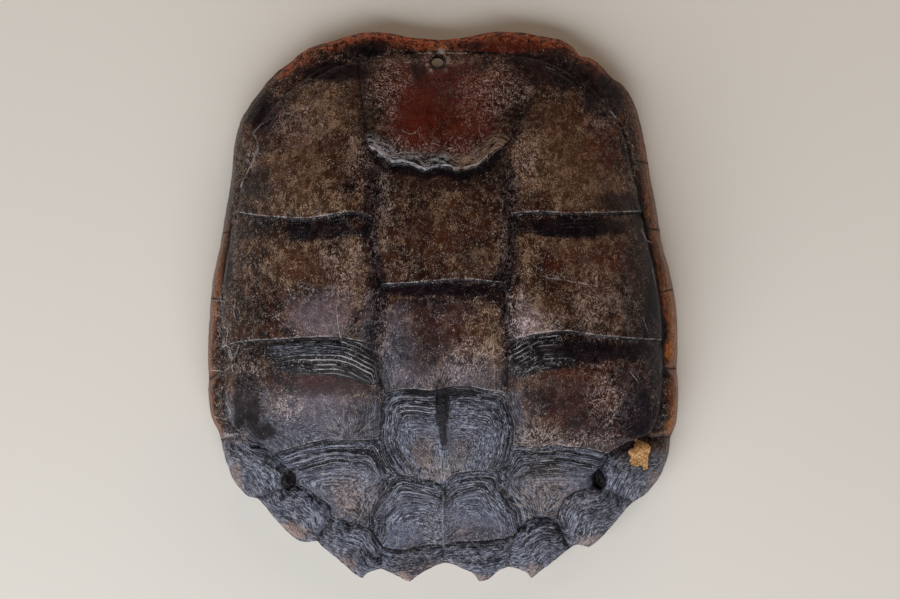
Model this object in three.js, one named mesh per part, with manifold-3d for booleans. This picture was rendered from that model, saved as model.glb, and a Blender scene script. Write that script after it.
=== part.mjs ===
// The upper shell (carapace) of an old common snapping turtle, dried, cleaned and varnished as a wall
// piece. It is one rigid bony piece, so it is one closed solid: a low vault with five vertebral scutes,
// four pairs of costal scutes, a nuchal scute and twelve pairs of marginal scutes, a saw-toothed tail
// margin, the column of vertebrae fused along the inside, and one hole near the neck to hang it by.
//
// Millimetres. +Z is up through the dome, +Y points to the head end and +X to the animal's right side.
// The origin is the middle of the bounding box at the plane that the shell rests on.
import * as THREE from "three";
import { mergeVertices } from "three/addons/utils/BufferGeometryUtils.js";
import Module from "manifold-3d";

// ---- driving dimensions -------------------------------------------------------------------------
const LENGTH = 340; // from the lobes beside the neck to the points of the tail
const APEX_HEIGHT = 92; // top of the dome above the resting plane
const WALL = 6.5; // bone with its scutes
const LEAST_WALL = 2.8; // what the deepest seams and pits leave of it
const EDGE_HEIGHT = { side: 12, front: 15, rear: 15 }; // upper edge of the margin
const EDGE_UNDERSIDE = { side: 0, front: 8, rear: 9 }; // lower edge of the margin
const SHAPE_POWER = { side: 2.4, front: 2.2, rear: 2.0 }; // larger is flatter on top
const FALL_POWER = { side: 0.62, front: 1.1, rear: 1.45 }; // under 1 is a wall, over 1 a flared brim
const LOWER_EDGE = 1.5; // how far the lower edge of the margin is set in from the upper one
const FLANGE = 10; // width of the margin's underside
const VAULT_START = 14; // where the vault starts to rise, in from the margin
const SPINE = { width: 15, depth: 11, front: 112, rear: -124, lowered: 2.75 };
const HANGING_HOLE = { at: [437.5, 61], radius: 3.6, cut: 60 };

// Relief of the scutes.
const SEAM_DEPTH = { cross: 2.3, side: 2.6, inner: 1.6, marginal: 1.3 };
const SEAM_WIDTH = 2.1; // on the side where a scute ends in a step
const FRONT_WIDTH = 8; // on the side where the next scute starts low
// The long hollows between vertebrals and costals, and the low keel at the rear.
const FURROW = { depth: 2.2, width: 9, begins: [120, 175], ends: [430, 480] };
const KEEL = { height: 2.2, width: 4.5, begins: [392, 432], ends: [540, 552] };
const GROWTH_RIDGE = { height: 0.55, spacing: 6, fades: [12, 17] };

// ---- the drawing --------------------------------------------------------------------------------
// The scutes are drawn in perspective, as they appear from a point EYE above the resting plane and over
// the middle of the sheet. The sheet is ruled in squares, x to the right and y down, head end at the top.
const EYE = 900;
const SHEET = { midX: 443, midY: 306.6, lobes: 30.2, points: 583 };
const SQUARE = (LENGTH / (SHEET.points - SHEET.lobes)) * (EYE / (EYE - EDGE_HEIGHT.rear));

// Labels: o is the outer edge, i the inner edge of the marginals, each at the end of marginal 1 to 12.
// a to e are where the seams around the costals reach the marginals, and p to y where they meet the
// vertebrals. L and R are the left and right sides.
const OUTER = [
  ["o0L", 406, 36.2], [392, 33.4], [378, 31], [362, 32.2],
  ["o1L", 346, 36.5], [330, 41.3], [314, 45.6],
  ["o2L", 300, 53.5], [291, 61.5], [280, 69], [270, 78.5],
  ["o3L", 263, 86.5], [257, 94.5], [249, 105.5], [241.5, 118], [237.5, 130], [234.5, 144],
  ["o4L", 233, 158], [231.5, 175], [228.5, 196], [225, 214],
  ["o5L", 222, 233], [218, 255], [213, 275],
  ["o6L", 210.5, 298], [209, 320], [207.3, 340], [206.5, 360],
  ["o7L", 208.5, 380], [207.5, 390], [209, 406], [212, 420], [218, 431],
  ["o8L", 220.5, 440], [223, 452], [228, 467], [233, 480], [241, 490.5], [248, 496.5],
  ["o9L", 257, 498.5], [263, 505], [277, 521.5], [290, 534.5], [299, 541], [306, 542.5],
  ["o10L", 317, 541], [326, 550], [340, 561.5], [351, 571.5], [362, 578.8], [367, 573.5], [374, 571],
  ["o11L", 381, 568.5], [392, 574], [401, 578.5], [409.5, 583], [417, 576.5], [430, 568.5],
  ["o12", 443, 563.5], [452, 564.5], [463, 569], [474, 574.5], [479.5, 583], [489, 579], [498, 571.5],
  ["o11R", 508, 567], [520, 569.5], [528, 574], [531.5, 578.8], [541, 571], [556, 560],
  ["o10R", 569, 549], [577, 545], [583, 545.6], [589.5, 547.6], [600, 539.5], [614, 524.5], [625, 511],
  ["o9R", 633, 503], [643, 496.5], [655, 484], [664, 468.5], [669, 453],
  ["o8R", 671, 437], [675.5, 427], [678.5, 408], [679.5, 390],
  ["o7R", 677, 369], [678.3, 345], [678, 325], [676.3, 305],
  ["o6R", 674, 289.5], [670, 272], [663.5, 249],
  ["o5R", 660, 230], [656, 205], [651.5, 183],
  ["o4R", 648.5, 163], [646, 147], [641.5, 127], [636.5, 108], [629, 93], [621, 83],
  ["o3R", 612.5, 78], [604, 68], [592, 58.5],
  ["o2R", 579.5, 55], [573, 46.5], [564, 40.8], [547, 36.7],
  ["o1R", 528, 33.2], [513, 31], [499, 30.2], [484, 33],
  ["o0R", 470, 36], [456, 38], [440, 39.6], [422, 38],
];
const INNER = [
  ["i0L", 412, 51], [385, 52], ["aL", 357, 55], ["i1L", 346, 58], [330, 63],
  ["i2L", 312, 72], [294, 85], ["i3L", 276, 101], [262, 118], [253, 132], [257, 150],
  ["i4L", 250, 165], [242, 180], [237, 198], ["bL", 234, 214], ["i5L", 229, 232], [225, 255], [221, 278],
  ["i6L", 220, 299], [219, 325], ["cL", 220, 350], ["i7L", 222, 368], [222, 385], [221, 400], [224, 416],
  [231, 428], ["i8L", 243, 437], [253, 445], [263, 450], ["dL", 271, 457], [280, 465], [286, 475],
  ["i9L", 291, 487], [300, 489.5], [308, 493], [318, 501], [328, 508], ["i10L", 331, 519],
  [345, 523], [358, 526], ["eL", 369, 531], [376, 539], ["i11L", 382, 549], [400, 552], [420, 548],
  ["i12", 443, 545], [460, 544], [480, 543], [500, 541], ["i11R", 513, 538], ["eR", 522, 527],
  [535, 520], [547, 519.5], ["i10R", 557, 521], [560, 510], [566, 501], [575, 494], [586, 490],
  ["i9R", 599, 487], [601, 479], [606, 468], ["dR", 612, 457], [618, 453], [632, 446],
  ["i8R", 648, 438], [656, 428], [661, 415], [664, 395], ["i7R", 665, 368], ["cR", 665, 342],
  [664, 315], ["i6R", 661, 292], [657, 270], [652, 250], ["i5R", 647, 228], ["bR", 644, 213],
  [641, 200], [636, 180], ["i4R", 631, 160], [627, 142], [620, 125], [610, 110], ["i3R", 598, 96],
  [585, 83], ["i2R", 570, 72], [550, 62], ["i1R", 530, 56], ["aR", 515, 54], [490, 52],
  ["i0R", 464, 51], [438, 51],
];
const SIDES = {
  L: [
    ["aL", 357, 55], [359, 80], [362, 105], [365, 130], ["pL", 368, 147], [371, 170], [372, 194],
    ["qL", 371, 217], [370, 235], [372, 255], [375, 272], ["rL", 379, 286], [378, 305], [376, 325],
    ["tL", 373, 347], [376, 365], [379, 382], ["uL", 384, 397], [382, 415], [380, 430],
    ["wL", 380, 443], [385, 458], [391, 468], ["yL", 398, 477], [388, 490], [378, 502], [370, 515],
    ["eL", 369, 531],
  ],
  R: [
    ["aR", 515, 54], [519, 75], [522, 95], [521, 115], [513, 135], ["pR", 500, 148], [505, 170],
    [509, 192], ["qR", 511, 214], [512, 235], [510, 255], [507, 270], ["rR", 505, 284], [506, 305],
    [508, 325], ["tR", 511, 343], [510, 360], [508, 380], ["uR", 505, 396], [509, 412], [514, 430],
    ["wR", 512, 447], [508, 460], ["yR", 500, 474], [498, 487], [508, 500], [519, 511],
    ["eR", 522, 527],
  ],
};
const CROSS = [
  ["pL", [380, 155], [393, 164], [408, 165], [425, 172], [436, 168], [447, 168], [455, 172], [470, 169],
    [485, 161], "pR"],
  ["rL", [400, 285], [420, 284], [450, 281], [480, 282], "rR"],
  ["uL", [400, 392], [415, 391], [430, 392], [450, 389], [470, 388.5], [485, 392], "uR"],
  ["yL", [415, 479], [430, 482], [440, 484], [452, 477], [475, 473], "yR"],
  ["bL", [250, 216], [278, 219], [305, 220], [330, 217], [352, 213], "qL"],
  ["cL", [235, 345], [255, 342], [280, 341], [305, 339], [340, 339], [355, 342], "tL"],
  ["dL", [285, 452], [300, 448], [315, 443], [330, 440.5], [347, 440], [362, 441], "wL"],
  ["bR", [620, 214], [590, 215], [560, 215], [535, 213], "qR"],
  ["cR", [645, 341], [620, 339], [590, 336], [565, 332.5], [545, 334], [525, 338], "tR"],
  ["dR", [590, 451], [570, 448], [548, 446], [530, 448], "wR"],
];
// Each large scute by its corners, and which two of them bound its front edge.
const LARGE_SCUTES = [
  { corners: ["aL", "pL", "pR", "aR"], front: ["aL", "aR"] },
  { corners: ["pL", "rL", "rR", "pR"], front: ["pL", "pR"] },
  { corners: ["rL", "uL", "uR", "rR"], front: ["rL", "rR"] },
  { corners: ["uL", "yL", "yR", "uR"], front: ["uL", "uR"] },
  { corners: ["yL", "eL", "eR", "yR"], front: ["yL", "yR"] },
  ...["L", "R"].flatMap((side) => [
    { corners: ["a", "b", "q", "p"].map((c) => c + side) },
    { corners: ["b", "c", "t", "q"].map((c) => c + side), front: ["b" + side, "q" + side] },
    { corners: ["c", "d", "w", "t"].map((c) => c + side), front: ["c" + side, "t" + side] },
    { corners: ["d", "e", "y", "w"].map((c) => c + side), front: ["d" + side, "w" + side] },
  ]),
];
// Swellings and hollows of their own: the old middle of a scute, and the pits at the turn of the brim.
const LUMPS = [
  { at: [341, 318], radius: 24, height: 2.4 },
  { at: [349, 420], radius: 24, height: 2.6 },
  { at: [543, 312], radius: 24, height: 2.4 },
  { at: [538, 424], radius: 24, height: 2.6 },
  { at: [318, 190], radius: 26, height: 1.8 },
  { at: [572, 188], radius: 26, height: 1.8 },
  { at: [437, 118], radius: 28, height: 2 },
  { at: [294, 477], radius: 7, height: -3.2 },
  { at: [596, 479], radius: 7.5, height: -3.4 },
  { at: [246, 416], radius: 11, height: -3 },
  { at: [632, 418], radius: 12, height: -3 },
  { at: [262, 482], radius: 9, height: 2.2 },
  { at: [300, 515], radius: 12, height: 2.4 },
  { at: [345, 541], radius: 12, height: 2.6 },
  { at: [366, 553], radius: 5, height: -2.2 },
  { at: [410, 564], radius: 9, height: 1.6 },
  { at: [478, 562], radius: 9, height: 1.6 },
  { at: [538, 541], radius: 13, height: 3 },
  { at: [592, 517], radius: 13, height: 2.4 },
  { at: [628, 474], radius: 11, height: 2.2 },
];

// ---- mesh density -------------------------------------------------------------------------------
const LONGEST_SIDE = 12.5; // of a facet along a seam
const LARGE_INSETS = [2.6, 5.6, 8.6, 11.6, 15.5]; // rings of facets inside a large scute's border
const LARGE_SHRINK = [0.6, 0.26];
const MARGINAL_ROWS = 3; // of facets from a marginal's inner border to the edge
const VAULT_RINGS = [[0.82, 84], [0.7, 66], [0.5, 48], [0.27, 30]]; // share of the way out, facets around
const HOLE_SIDES = 18;
const SPINE_MESH = { stations: 9, steps: 16, segments: 5 };

// ---- small helpers ------------------------------------------------------------------------------
const mix = (a, b, t) => a + (b - a) * t;
const clamp01 = (t) => Math.min(1, Math.max(0, t));
const smooth = (from, to, x) => {
  const t = clamp01((x - from) / (to - from));
  return t * t * (3 - 2 * t);
};
const onSheet = ([x, y]) => [(x - SHEET.midX) * SQUARE, (SHEET.midY - y) * SQUARE];

function distanceToSegment([px, py], [ax, ay], [bx, by]) {
  const t = clamp01(((px - ax) * (bx - ax) + (py - ay) * (by - ay)) / ((bx - ax) ** 2 + (by - ay) ** 2));
  return Math.hypot(px - mix(ax, bx, t), py - mix(ay, by, t));
}

const distanceToLine = (p, line) =>
  Math.min(...line.slice(1).map((b, i) => distanceToSegment(p, line[i], b)));

// ---- the smooth dome ----------------------------------------------------------------------------
const outerPoints = OUTER.map((p) => onSheet(p.slice(-2)));

// Radius of the margin in a direction: where the ray from the middle crosses the outer edge.
function marginRadius(angle) {
  const [dx, dy] = [Math.cos(angle), Math.sin(angle)];
  let radius = 0;
  outerPoints.forEach(([ax, ay], i) => {
    const [bx, by] = outerPoints[(i + 1) % outerPoints.length];
    const sideA = dx * ay - dy * ax;
    const sideB = dx * by - dy * bx;
    if (sideA * sideB > 0 || sideA === sideB) return;
    const t = sideA / (sideA - sideB);
    radius = Math.max(radius, mix(ax, bx, t) * dx + mix(ay, by, t) * dy);
  });
  return radius;
}

// The same margin without its teeth, by averaging over a span of directions, in degrees.
const DEGREE = Math.PI / 180;
const AVERAGE = { reach: 24, spread: 10 };
const rawRadii = Array.from({ length: 360 }, (_, i) => marginRadius(i * DEGREE + 1e-6));
const evenRadii = rawRadii.map((_, i) => {
  let total = 0;
  let weight = 0;
  for (let k = -AVERAGE.reach; k <= AVERAGE.reach; k++) {
    const w = Math.exp(-((k / AVERAGE.spread) ** 2));
    total += w * rawRadii[(i + k + 360) % 360];
    weight += w;
  }
  return total / weight;
});

function evenRadius(angle) {
  const turn = ((angle / DEGREE) % 360 + 360) % 360;
  const i = Math.floor(turn) % 360;
  return mix(evenRadii[i], evenRadii[(i + 1) % 360], turn - Math.floor(turn));
}

// A quantity that differs between the sides, the front and the rear, blended by direction.
function byDirection(value, angle) {
  const up = Math.sin(angle);
  const end = up * up;
  return mix(value.side, up > 0 ? value.front : value.rear, end);
}

// How much a direction belongs to the sides, where the shell rests: all of it up to 30 degrees from the
// X axis, and nothing past 51 degrees.
const SIDE_ENDS = [30 * DEGREE, 51 * DEGREE].map(Math.sin);
const sideShare = (angle) => 1 - smooth(...SIDE_ENDS, Math.abs(Math.sin(angle)));

const marginTop = (angle) => byDirection(EDGE_HEIGHT, angle);
const marginBottom = (angle) =>
  (Math.sin(angle) > 0 ? EDGE_UNDERSIDE.front : EDGE_UNDERSIDE.rear) * (1 - sideShare(angle));

// A point of the sheet at height z, moved along its line of sight.
const inSpace = ([x, y], z) => new THREE.Vector3((x * (EYE - z)) / EYE, (y * (EYE - z)) / EYE, z);

// Past this share of the way out the dome follows the teeth of the margin.
const TEETH_START = 0.72;

function domePoint([x, y]) {
  const angle = Math.atan2(y, x);
  const r = Math.hypot(x, y);
  const even = evenRadius(angle);
  const s = clamp01(r / mix(even, marginRadius(angle), smooth(TEETH_START, 1, r / even)));
  const fall = (1 - s ** byDirection(SHAPE_POWER, angle)) ** byDirection(FALL_POWER, angle);
  return inSpace([x, y], mix(marginTop(angle), APEX_HEIGHT, fall));
}

// The normal from two short steps, taken just inside the margin.
const NORMAL = { step: 0.5, inside: 1.2 };

function domeNormal([x, y]) {
  const d = NORMAL.step;
  const pull = Math.max(0, 1 - NORMAL.inside / Math.hypot(x, y));
  const at = [x * pull, y * pull];
  const alongX = domePoint([at[0] + d, at[1]]).sub(domePoint([at[0] - d, at[1]]));
  const alongY = domePoint([at[0], at[1] + d]).sub(domePoint([at[0], at[1] - d]));
  return alongX.cross(alongY).normalize();
}

// ---- the network of seams -----------------------------------------------------------------------
const vertices = []; // { at: place on the sheet }
const labelled = new Map();
const lines = []; // { kind, ids: vertices in order, closed }

function vertexAt(at) {
  vertices.push({ at });
  return vertices.length - 1;
}

function vertexFor(point) {
  const label = typeof point === "string" ? point : point.length === 3 ? point[0] : null;
  if (label !== null && labelled.has(label)) return labelled.get(label);
  const id = vertexAt(onSheet(point.slice(-2)));
  if (label !== null) labelled.set(label, id);
  return id;
}

// Long stretches between two listed points are divided, so that facets stay even.
const partsByLength = (a, b) => Math.ceil(Math.hypot(b[0] - a[0], b[1] - a[1]) / LONGEST_SIDE);
const between = (a, b, t) => [mix(a[0], b[0], t), mix(a[1], b[1], t)];

function addLine(kind, points, { closed = false, partsFor = partsByLength } = {}) {
  const listed = points.map(vertexFor);
  if (closed) listed.push(listed[0]);
  const ids = [listed[0]];
  for (let i = 1; i < listed.length; i++) {
    const a = vertices[listed[i - 1]].at;
    const b = vertices[listed[i]].at;
    const parts = partsFor(a, b);
    for (let k = 1; k < parts; k++) ids.push(vertexAt(between(a, b, k / parts)));
    ids.push(listed[i]);
  }
  lines.push({ kind, ids, closed });
}

addLine("outer", OUTER, { closed: true });
addLine("inner", INNER, { closed: true });
addLine("side", SIDES.L);
addLine("side", SIDES.R);
CROSS.forEach((points) => addLine("cross", points));
const MARGINALS = 12;
const endOf = (k, side) => (k === MARGINALS ? "12" : `${k}${side}`);
const marginalEnds = ["L", "R"].flatMap((side) => Array.from({ length: MARGINALS }, (_, k) => `${k}${side}`));
for (const end of [...marginalEnds, "12"])
  addLine("marginal", [`i${end}`, `o${end}`], { partsFor: () => MARGINAL_ROWS });

// The vertices from one label to another along the line that holds both, the short way round.
function stretch(fromLabel, toLabel) {
  const from = labelled.get(fromLabel);
  const to = labelled.get(toLabel);
  const options = lines.flatMap(({ ids, closed }) => {
    const loop = closed ? ids.slice(0, -1) : ids;
    const [i, j] = [loop.indexOf(from), loop.indexOf(to)];
    if (i < 0 || j < 0) return [];
    const walk = (step) => {
      const out = [from];
      for (let k = i; k !== j; ) {
        k = (k + step + loop.length) % loop.length;
        out.push(loop[k]);
      }
      return out;
    };
    return closed ? [walk(1), walk(-1)] : [walk(i < j ? 1 : -1)];
  });
  return options.sort((a, b) => a.length - b.length)[0];
}

const signedArea = (loop) =>
  loop.reduce((sum, [x, y], i) => {
    const [nextX, nextY] = loop[(i + 1) % loop.length];
    return sum + (x * nextY - nextX * y) / 2;
  }, 0);

// Turns a loop of vertices counter-clockwise as seen from above.
const facingUp = (ids) => (signedArea(ids.map((id) => vertices[id].at)) > 0 ? ids : [...ids].reverse());

const borderOf = (corners) =>
  facingUp(corners.flatMap((corner, i) => stretch(corner, corners[(i + 1) % corners.length]).slice(0, -1)));

// The nuchal scute and the marginals, each by its two ends, in counter-clockwise order.
const marginalScutes = [["0L", "0R"]];
for (let k = 1; k <= MARGINALS; k++) {
  marginalScutes.push([endOf(k, "L"), endOf(k - 1, "L")]);
  marginalScutes.push([endOf(k - 1, "R"), endOf(k, "R")]);
}

// ---- relief -------------------------------------------------------------------------------------
const seams = lines
  .filter(({ kind }) => kind !== "outer")
  .map(({ kind, ids }) => ({ depth: SEAM_DEPTH[kind], kind, line: ids.map((id) => vertices[id].at) }));
const sideLines = seams.filter(({ kind }) => kind === "side").map(({ line }) => line);

// How much of a long form there is at p, by where on the sheet it begins and ends.
function shareAlong({ begins, ends }, p) {
  const y = SHEET.midY - p[1] / SQUARE;
  return smooth(...begins, y) * (1 - smooth(...ends, y));
}

// The furrows are deep beside the second to fourth vertebral, and the keel is low and only at the rear.
function ownForms(p) {
  const furrow = FURROW.depth * shareAlong(FURROW, p);
  const toSide = Math.min(...sideLines.map((line) => distanceToLine(p, line)));
  let height = -furrow * Math.exp(-((toSide / FURROW.width) ** 2));
  for (const lump of LUMPS) {
    const [x, y] = onSheet(lump.at);
    height += lump.height * Math.exp(-(((p[0] - x) ** 2 + (p[1] - y) ** 2) / (lump.radius * SQUARE) ** 2));
  }
  return height + KEEL.height * shareAlong(KEEL, p) * Math.exp(-((p[0] / KEEL.width) ** 2));
}

// Height over the dome at a point. A scute starts low behind its front seam, carries growth ridges
// there, and ends in a step at its rear seam.
function relief(p, frontLine = null) {
  let depth = 0;
  for (const seam of seams)
    depth = Math.max(depth, seam.depth * Math.exp(-((distanceToLine(p, seam.line) / SEAM_WIDTH) ** 2)));
  let height = ownForms(p);
  if (frontLine) {
    const back = distanceToLine(p, frontLine);
    depth = Math.max(depth, SEAM_DEPTH.cross * Math.exp(-((back / FRONT_WIDTH) ** 2)));
    const fade = 1 - smooth(...GROWTH_RIDGE.fades, back);
    const wave = Math.cos((2 * Math.PI * (back - LARGE_INSETS[1])) / GROWTH_RIDGE.spacing);
    height += GROWTH_RIDGE.height * fade * wave * smooth(0, LARGE_INSETS[0], back);
  }
  return Math.max(height - depth, LEAST_WALL - WALL);
}

function surfacePoint(p, frontLine) {
  return domePoint(p).addScaledVector(domeNormal(p), relief(p, frontLine));
}

// ---- upper surface ------------------------------------------------------------------------------
const positions = []; // places in space, the border vertices first
const faces = [];
const outerIds = lines[0].ids.slice(0, -1);
const onEdge = new Set(outerIds);
vertices.forEach(({ at }, id) => {
  const place = domePoint(at);
  positions.push(onEdge.has(id) ? place : place.addScaledVector(domeNormal(at), relief(at)));
});

function addPoint(place) {
  positions.push(place);
  return positions.length - 1;
}

function joinRings(outside, inside) {
  outside.forEach((a, i) => {
    const b = outside[(i + 1) % outside.length];
    const [c, d] = [inside[(i + 1) % inside.length], inside[i]];
    faces.push([a, b, c], [a, c, d]);
  });
}

// A large scute is rings of facets, its border shrunk towards its middle.
function addLargeScute(border, frontLine) {
  const places = border.map((id) => vertices[id].at);
  const range = [0, 1].map((axis) => places.map((p) => p[axis]));
  const middle = range.map((values) => (Math.min(...values) + Math.max(...values)) / 2);
  const half = range.map((values, axis) => Math.max(...values) - middle[axis]);
  let ring = border;
  for (const scale of largeScales(Math.sqrt(half[0] * half[1]))) {
    const next = places.map((p) => addPoint(surfacePoint(between(middle, p, scale), frontLine)));
    joinRings(ring, next);
    ring = next;
  }
  const tip = addPoint(surfacePoint(middle, frontLine));
  ring.forEach((a, i) => faces.push([a, ring[(i + 1) % ring.length], tip]));
}

// The sizes of a scute's rings as shares of its border, for a scute of a given half width.
function largeScales(half) {
  const inset = LARGE_INSETS.map((d) => 1 - d / half);
  return [...inset, ...LARGE_SHRINK.map((share) => share * inset[inset.length - 1])];
}

// Facets between two rows that run the same way but may have different numbers of points.
function zipRows(a, b) {
  let [i, j] = [0, 0];
  while (i < a.length - 1 || j < b.length - 1) {
    const nextA = (i + 1) / (a.length - 1);
    const nextB = (j + 1) / (b.length - 1);
    if (nextA <= nextB) {
      faces.push([a[i], a[i + 1], b[j]]);
      i++;
    } else {
      faces.push([a[i], b[j + 1], b[j]]);
      j++;
    }
  }
}

function pointAlong(ids, t) {
  const at = t * (ids.length - 1);
  const i = Math.min(Math.floor(at), ids.length - 2);
  return between(vertices[ids[i]].at, vertices[ids[i + 1]].at, at - i);
}

// A marginal is rows of facets from its inner border to the edge, which end on the seams beside it.
function addMarginal([from, to]) {
  const inner = stretch(`i${from}`, `i${to}`);
  const outer = stretch(`o${from}`, `o${to}`);
  const first = stretch(`i${from}`, `o${from}`);
  const last = stretch(`i${to}`, `o${to}`);
  const steps = Math.max(inner.length, outer.length) - 1;
  let row = inner;
  for (let k = 1; k < MARGINAL_ROWS; k++) {
    const next = [first[k]];
    for (let i = 1; i < steps; i++) {
      const p = between(pointAlong(inner, i / steps), pointAlong(outer, i / steps), k / MARGINAL_ROWS);
      next.push(addPoint(surfacePoint(p)));
    }
    next.push(last[k]);
    zipRows(row, next);
    row = next;
  }
  zipRows(row, outer);
}

for (const { corners, front } of LARGE_SCUTES)
  addLargeScute(borderOf(corners), front ? stretch(...front).map((id) => vertices[id].at) : null);
marginalScutes.forEach(addMarginal);

// ---- underside ----------------------------------------------------------------------------------
const angleOf = (place) => Math.atan2(place.y, place.x);

// Joins two loops that go round the same way but may have different numbers of points.
function zipLoops(outside, inside) {
  const turn = (id) => (angleOf(positions[id]) + 4 * Math.PI) % (2 * Math.PI);
  const start = (loop) => loop.reduce((best, id, i) => (turn(id) < turn(loop[best]) ? i : best), 0);
  const fromStart = (loop) => {
    const at = start(loop);
    return [...loop.slice(at), ...loop.slice(0, at)];
  };
  const [a, b] = [fromStart(outside), fromStart(inside)];
  let [i, j] = [0, 0];
  while (i < a.length || j < b.length) {
    const nextA = i < a.length ? (i + 1 < a.length ? turn(a[i + 1]) : 2 * Math.PI) : Infinity;
    const nextB = j < b.length ? (j + 1 < b.length ? turn(b[j + 1]) : 2 * Math.PI) : Infinity;
    const [p, q] = [a[i % a.length], b[j % b.length]];
    if (nextA <= nextB) {
      faces.push([p, q, a[(i + 1) % a.length]]);
      i++;
    } else {
      faces.push([p, q, b[(j + 1) % b.length]]);
      j++;
    }
  }
}

// The margin as a loop that goes round by angle, and loops inside it on the underside.
const rim = facingUp(outerIds);

function innerVault(angle, share) {
  const r = evenRadius(angle) * share;
  const p = [r * Math.cos(angle), r * Math.sin(angle)];
  return domePoint(p).addScaledVector(domeNormal(p), -WALL);
}

// A loop set in from the margin by a distance, at the height that heightAt gives.
const insetLoop = (loop, distance, heightAt) =>
  loop.map((id) => {
    const edge = positions[id];
    const angle = angleOf(edge);
    const radius = Math.hypot(edge.x, edge.y) - distance;
    const height = heightAt(angle, radius);
    return addPoint(new THREE.Vector3(radius * Math.cos(angle), radius * Math.sin(angle), height));
  });

// Height of the vault's inner face at a distance from the middle in space, found by halving. On the steep
// sides the inner face lies well inside the point of the sheet that it is measured from.
const HALVINGS = 24;

function vaultHeight(angle, radius) {
  let [inside, outside] = [0, 1];
  for (let i = 0; i < HALVINGS; i++) {
    const share = (inside + outside) / 2;
    const place = innerVault(angle, share);
    if (Math.hypot(place.x, place.y) < radius) inside = share;
    else outside = share;
  }
  return innerVault(angle, inside).z;
}

const flangeHeight = (angle, radius) => mix(vaultHeight(angle, radius), 0, sideShare(angle));
const lowerEdge = insetLoop(rim, LOWER_EDGE, marginBottom);
const flangeEdge = insetLoop(rim, FLANGE, flangeHeight);
const vaultEdge = insetLoop(rim, VAULT_START, vaultHeight);
const reversedRings = (outside, inside) =>
  outside.forEach((a, i) => {
    const b = outside[(i + 1) % outside.length];
    const [c, d] = [inside[(i + 1) % inside.length], inside[i]];
    faces.push([b, a, d], [b, d, c]);
  });
reversedRings(rim, lowerEdge);
reversedRings(lowerEdge, flangeEdge);
reversedRings(flangeEdge, vaultEdge);
let vaultLoop = vaultEdge;
for (const [share, count] of VAULT_RINGS) {
  const angles = Array.from({ length: count }, (_, i) => (i / count) * 2 * Math.PI);
  const ring = angles.map((angle) => addPoint(innerVault(angle, share)));
  zipLoops(vaultLoop, ring);
  vaultLoop = ring;
}
const crown = addPoint(innerVault(0, 0.0001));
vaultLoop.forEach((a, i) => faces.push([vaultLoop[(i + 1) % vaultLoop.length], a, crown]));

// ---- solids -------------------------------------------------------------------------------------
const wasm = await Module();
wasm.setup();

function solidOf(geometry) {
  const bare = geometry.clone();
  bare.deleteAttribute("normal");
  bare.deleteAttribute("uv");
  const merged = mergeVertices(bare, 1e-4);
  return new wasm.Manifold(
    new wasm.Mesh({
      numProp: 3,
      vertProperties: merged.attributes.position.array,
      triVerts: new Uint32Array(merged.index.array),
    }),
  );
}

function geometryOf(solid) {
  const mesh = solid.getMesh();
  const geometry = new THREE.BufferGeometry();
  geometry.setAttribute("position", new THREE.BufferAttribute(mesh.vertProperties, 3));
  geometry.setIndex(new THREE.BufferAttribute(mesh.triVerts, 1));
  return geometry;
}

function shellGeometry() {
  const geometry = new THREE.BufferGeometry();
  const flat = positions.flatMap(({ x, y, z }) => [x, y, z]);
  geometry.setAttribute("position", new THREE.Float32BufferAttribute(flat, 3));
  geometry.setIndex(faces.flat());
  return geometry;
}

// The vertebrae, fused to the inside of the vault as one tapering ridge.
function spineGeometry() {
  const { stations, steps, segments } = SPINE_MESH;
  const path = Array.from({ length: stations }, (_, i) => {
    const y = mix(SPINE.front, SPINE.rear, i / (stations - 1));
    const angle = Math.atan2(y, 0);
    const roof = innerVault(angle, Math.abs(y) / evenRadius(angle));
    return new THREE.Vector3(0, roof.y, roof.z - SPINE.lowered);
  });
  const section = new THREE.Shape();
  section.absellipse(0, 0, SPINE.width / 2, SPINE.depth / 2, 0, 2 * Math.PI);
  return new THREE.ExtrudeGeometry(section, {
    extrudePath: new THREE.CatmullRomCurve3(path),
    steps,
    curveSegments: segments,
    bevelEnabled: false,
  });
}

// The hole goes straight down through the neck margin.
function hangingHoleGeometry() {
  const [x, y] = onSheet(HANGING_HOLE.at);
  const top = domePoint([x, y]);
  return new THREE.CylinderGeometry(HANGING_HOLE.radius, HANGING_HOLE.radius, HANGING_HOLE.cut, HOLE_SIDES)
    .rotateX(Math.PI / 2)
    .translate(top.x, top.y, top.z);
}

const carapaceGeometry = geometryOf(
  solidOf(shellGeometry()).add(solidOf(spineGeometry())).subtract(solidOf(hangingHoleGeometry())),
);
carapaceGeometry.computeBoundingBox();
const box = carapaceGeometry.boundingBox;
carapaceGeometry.translate(-(box.min.x + box.max.x) / 2, -(box.min.y + box.max.y) / 2, -box.min.z);
carapaceGeometry.computeVertexNormals();

const varnishedHorn = new THREE.MeshStandardMaterial({ color: 0x2c1f19, roughness: 0.42, metalness: 0 });
const carapace = new THREE.Mesh(carapaceGeometry, varnishedHorn);
carapace.name = "carapace";

const shell = new THREE.Group();
shell.add(carapace);
export default shell;
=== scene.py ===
"""Dresses the carapace of an old common snapping turtle.

The CAD solid is replaced by one closed mesh of the same form: the same network of scutes on the same dome,
sampled finely enough to carry growth ridges, radiating wrinkles, crevices and the ribs inside.
Sizes are in millimetres until the mesh is made. +X is the animal's right, +Y its head end, +Z up.
"""
import math

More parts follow.
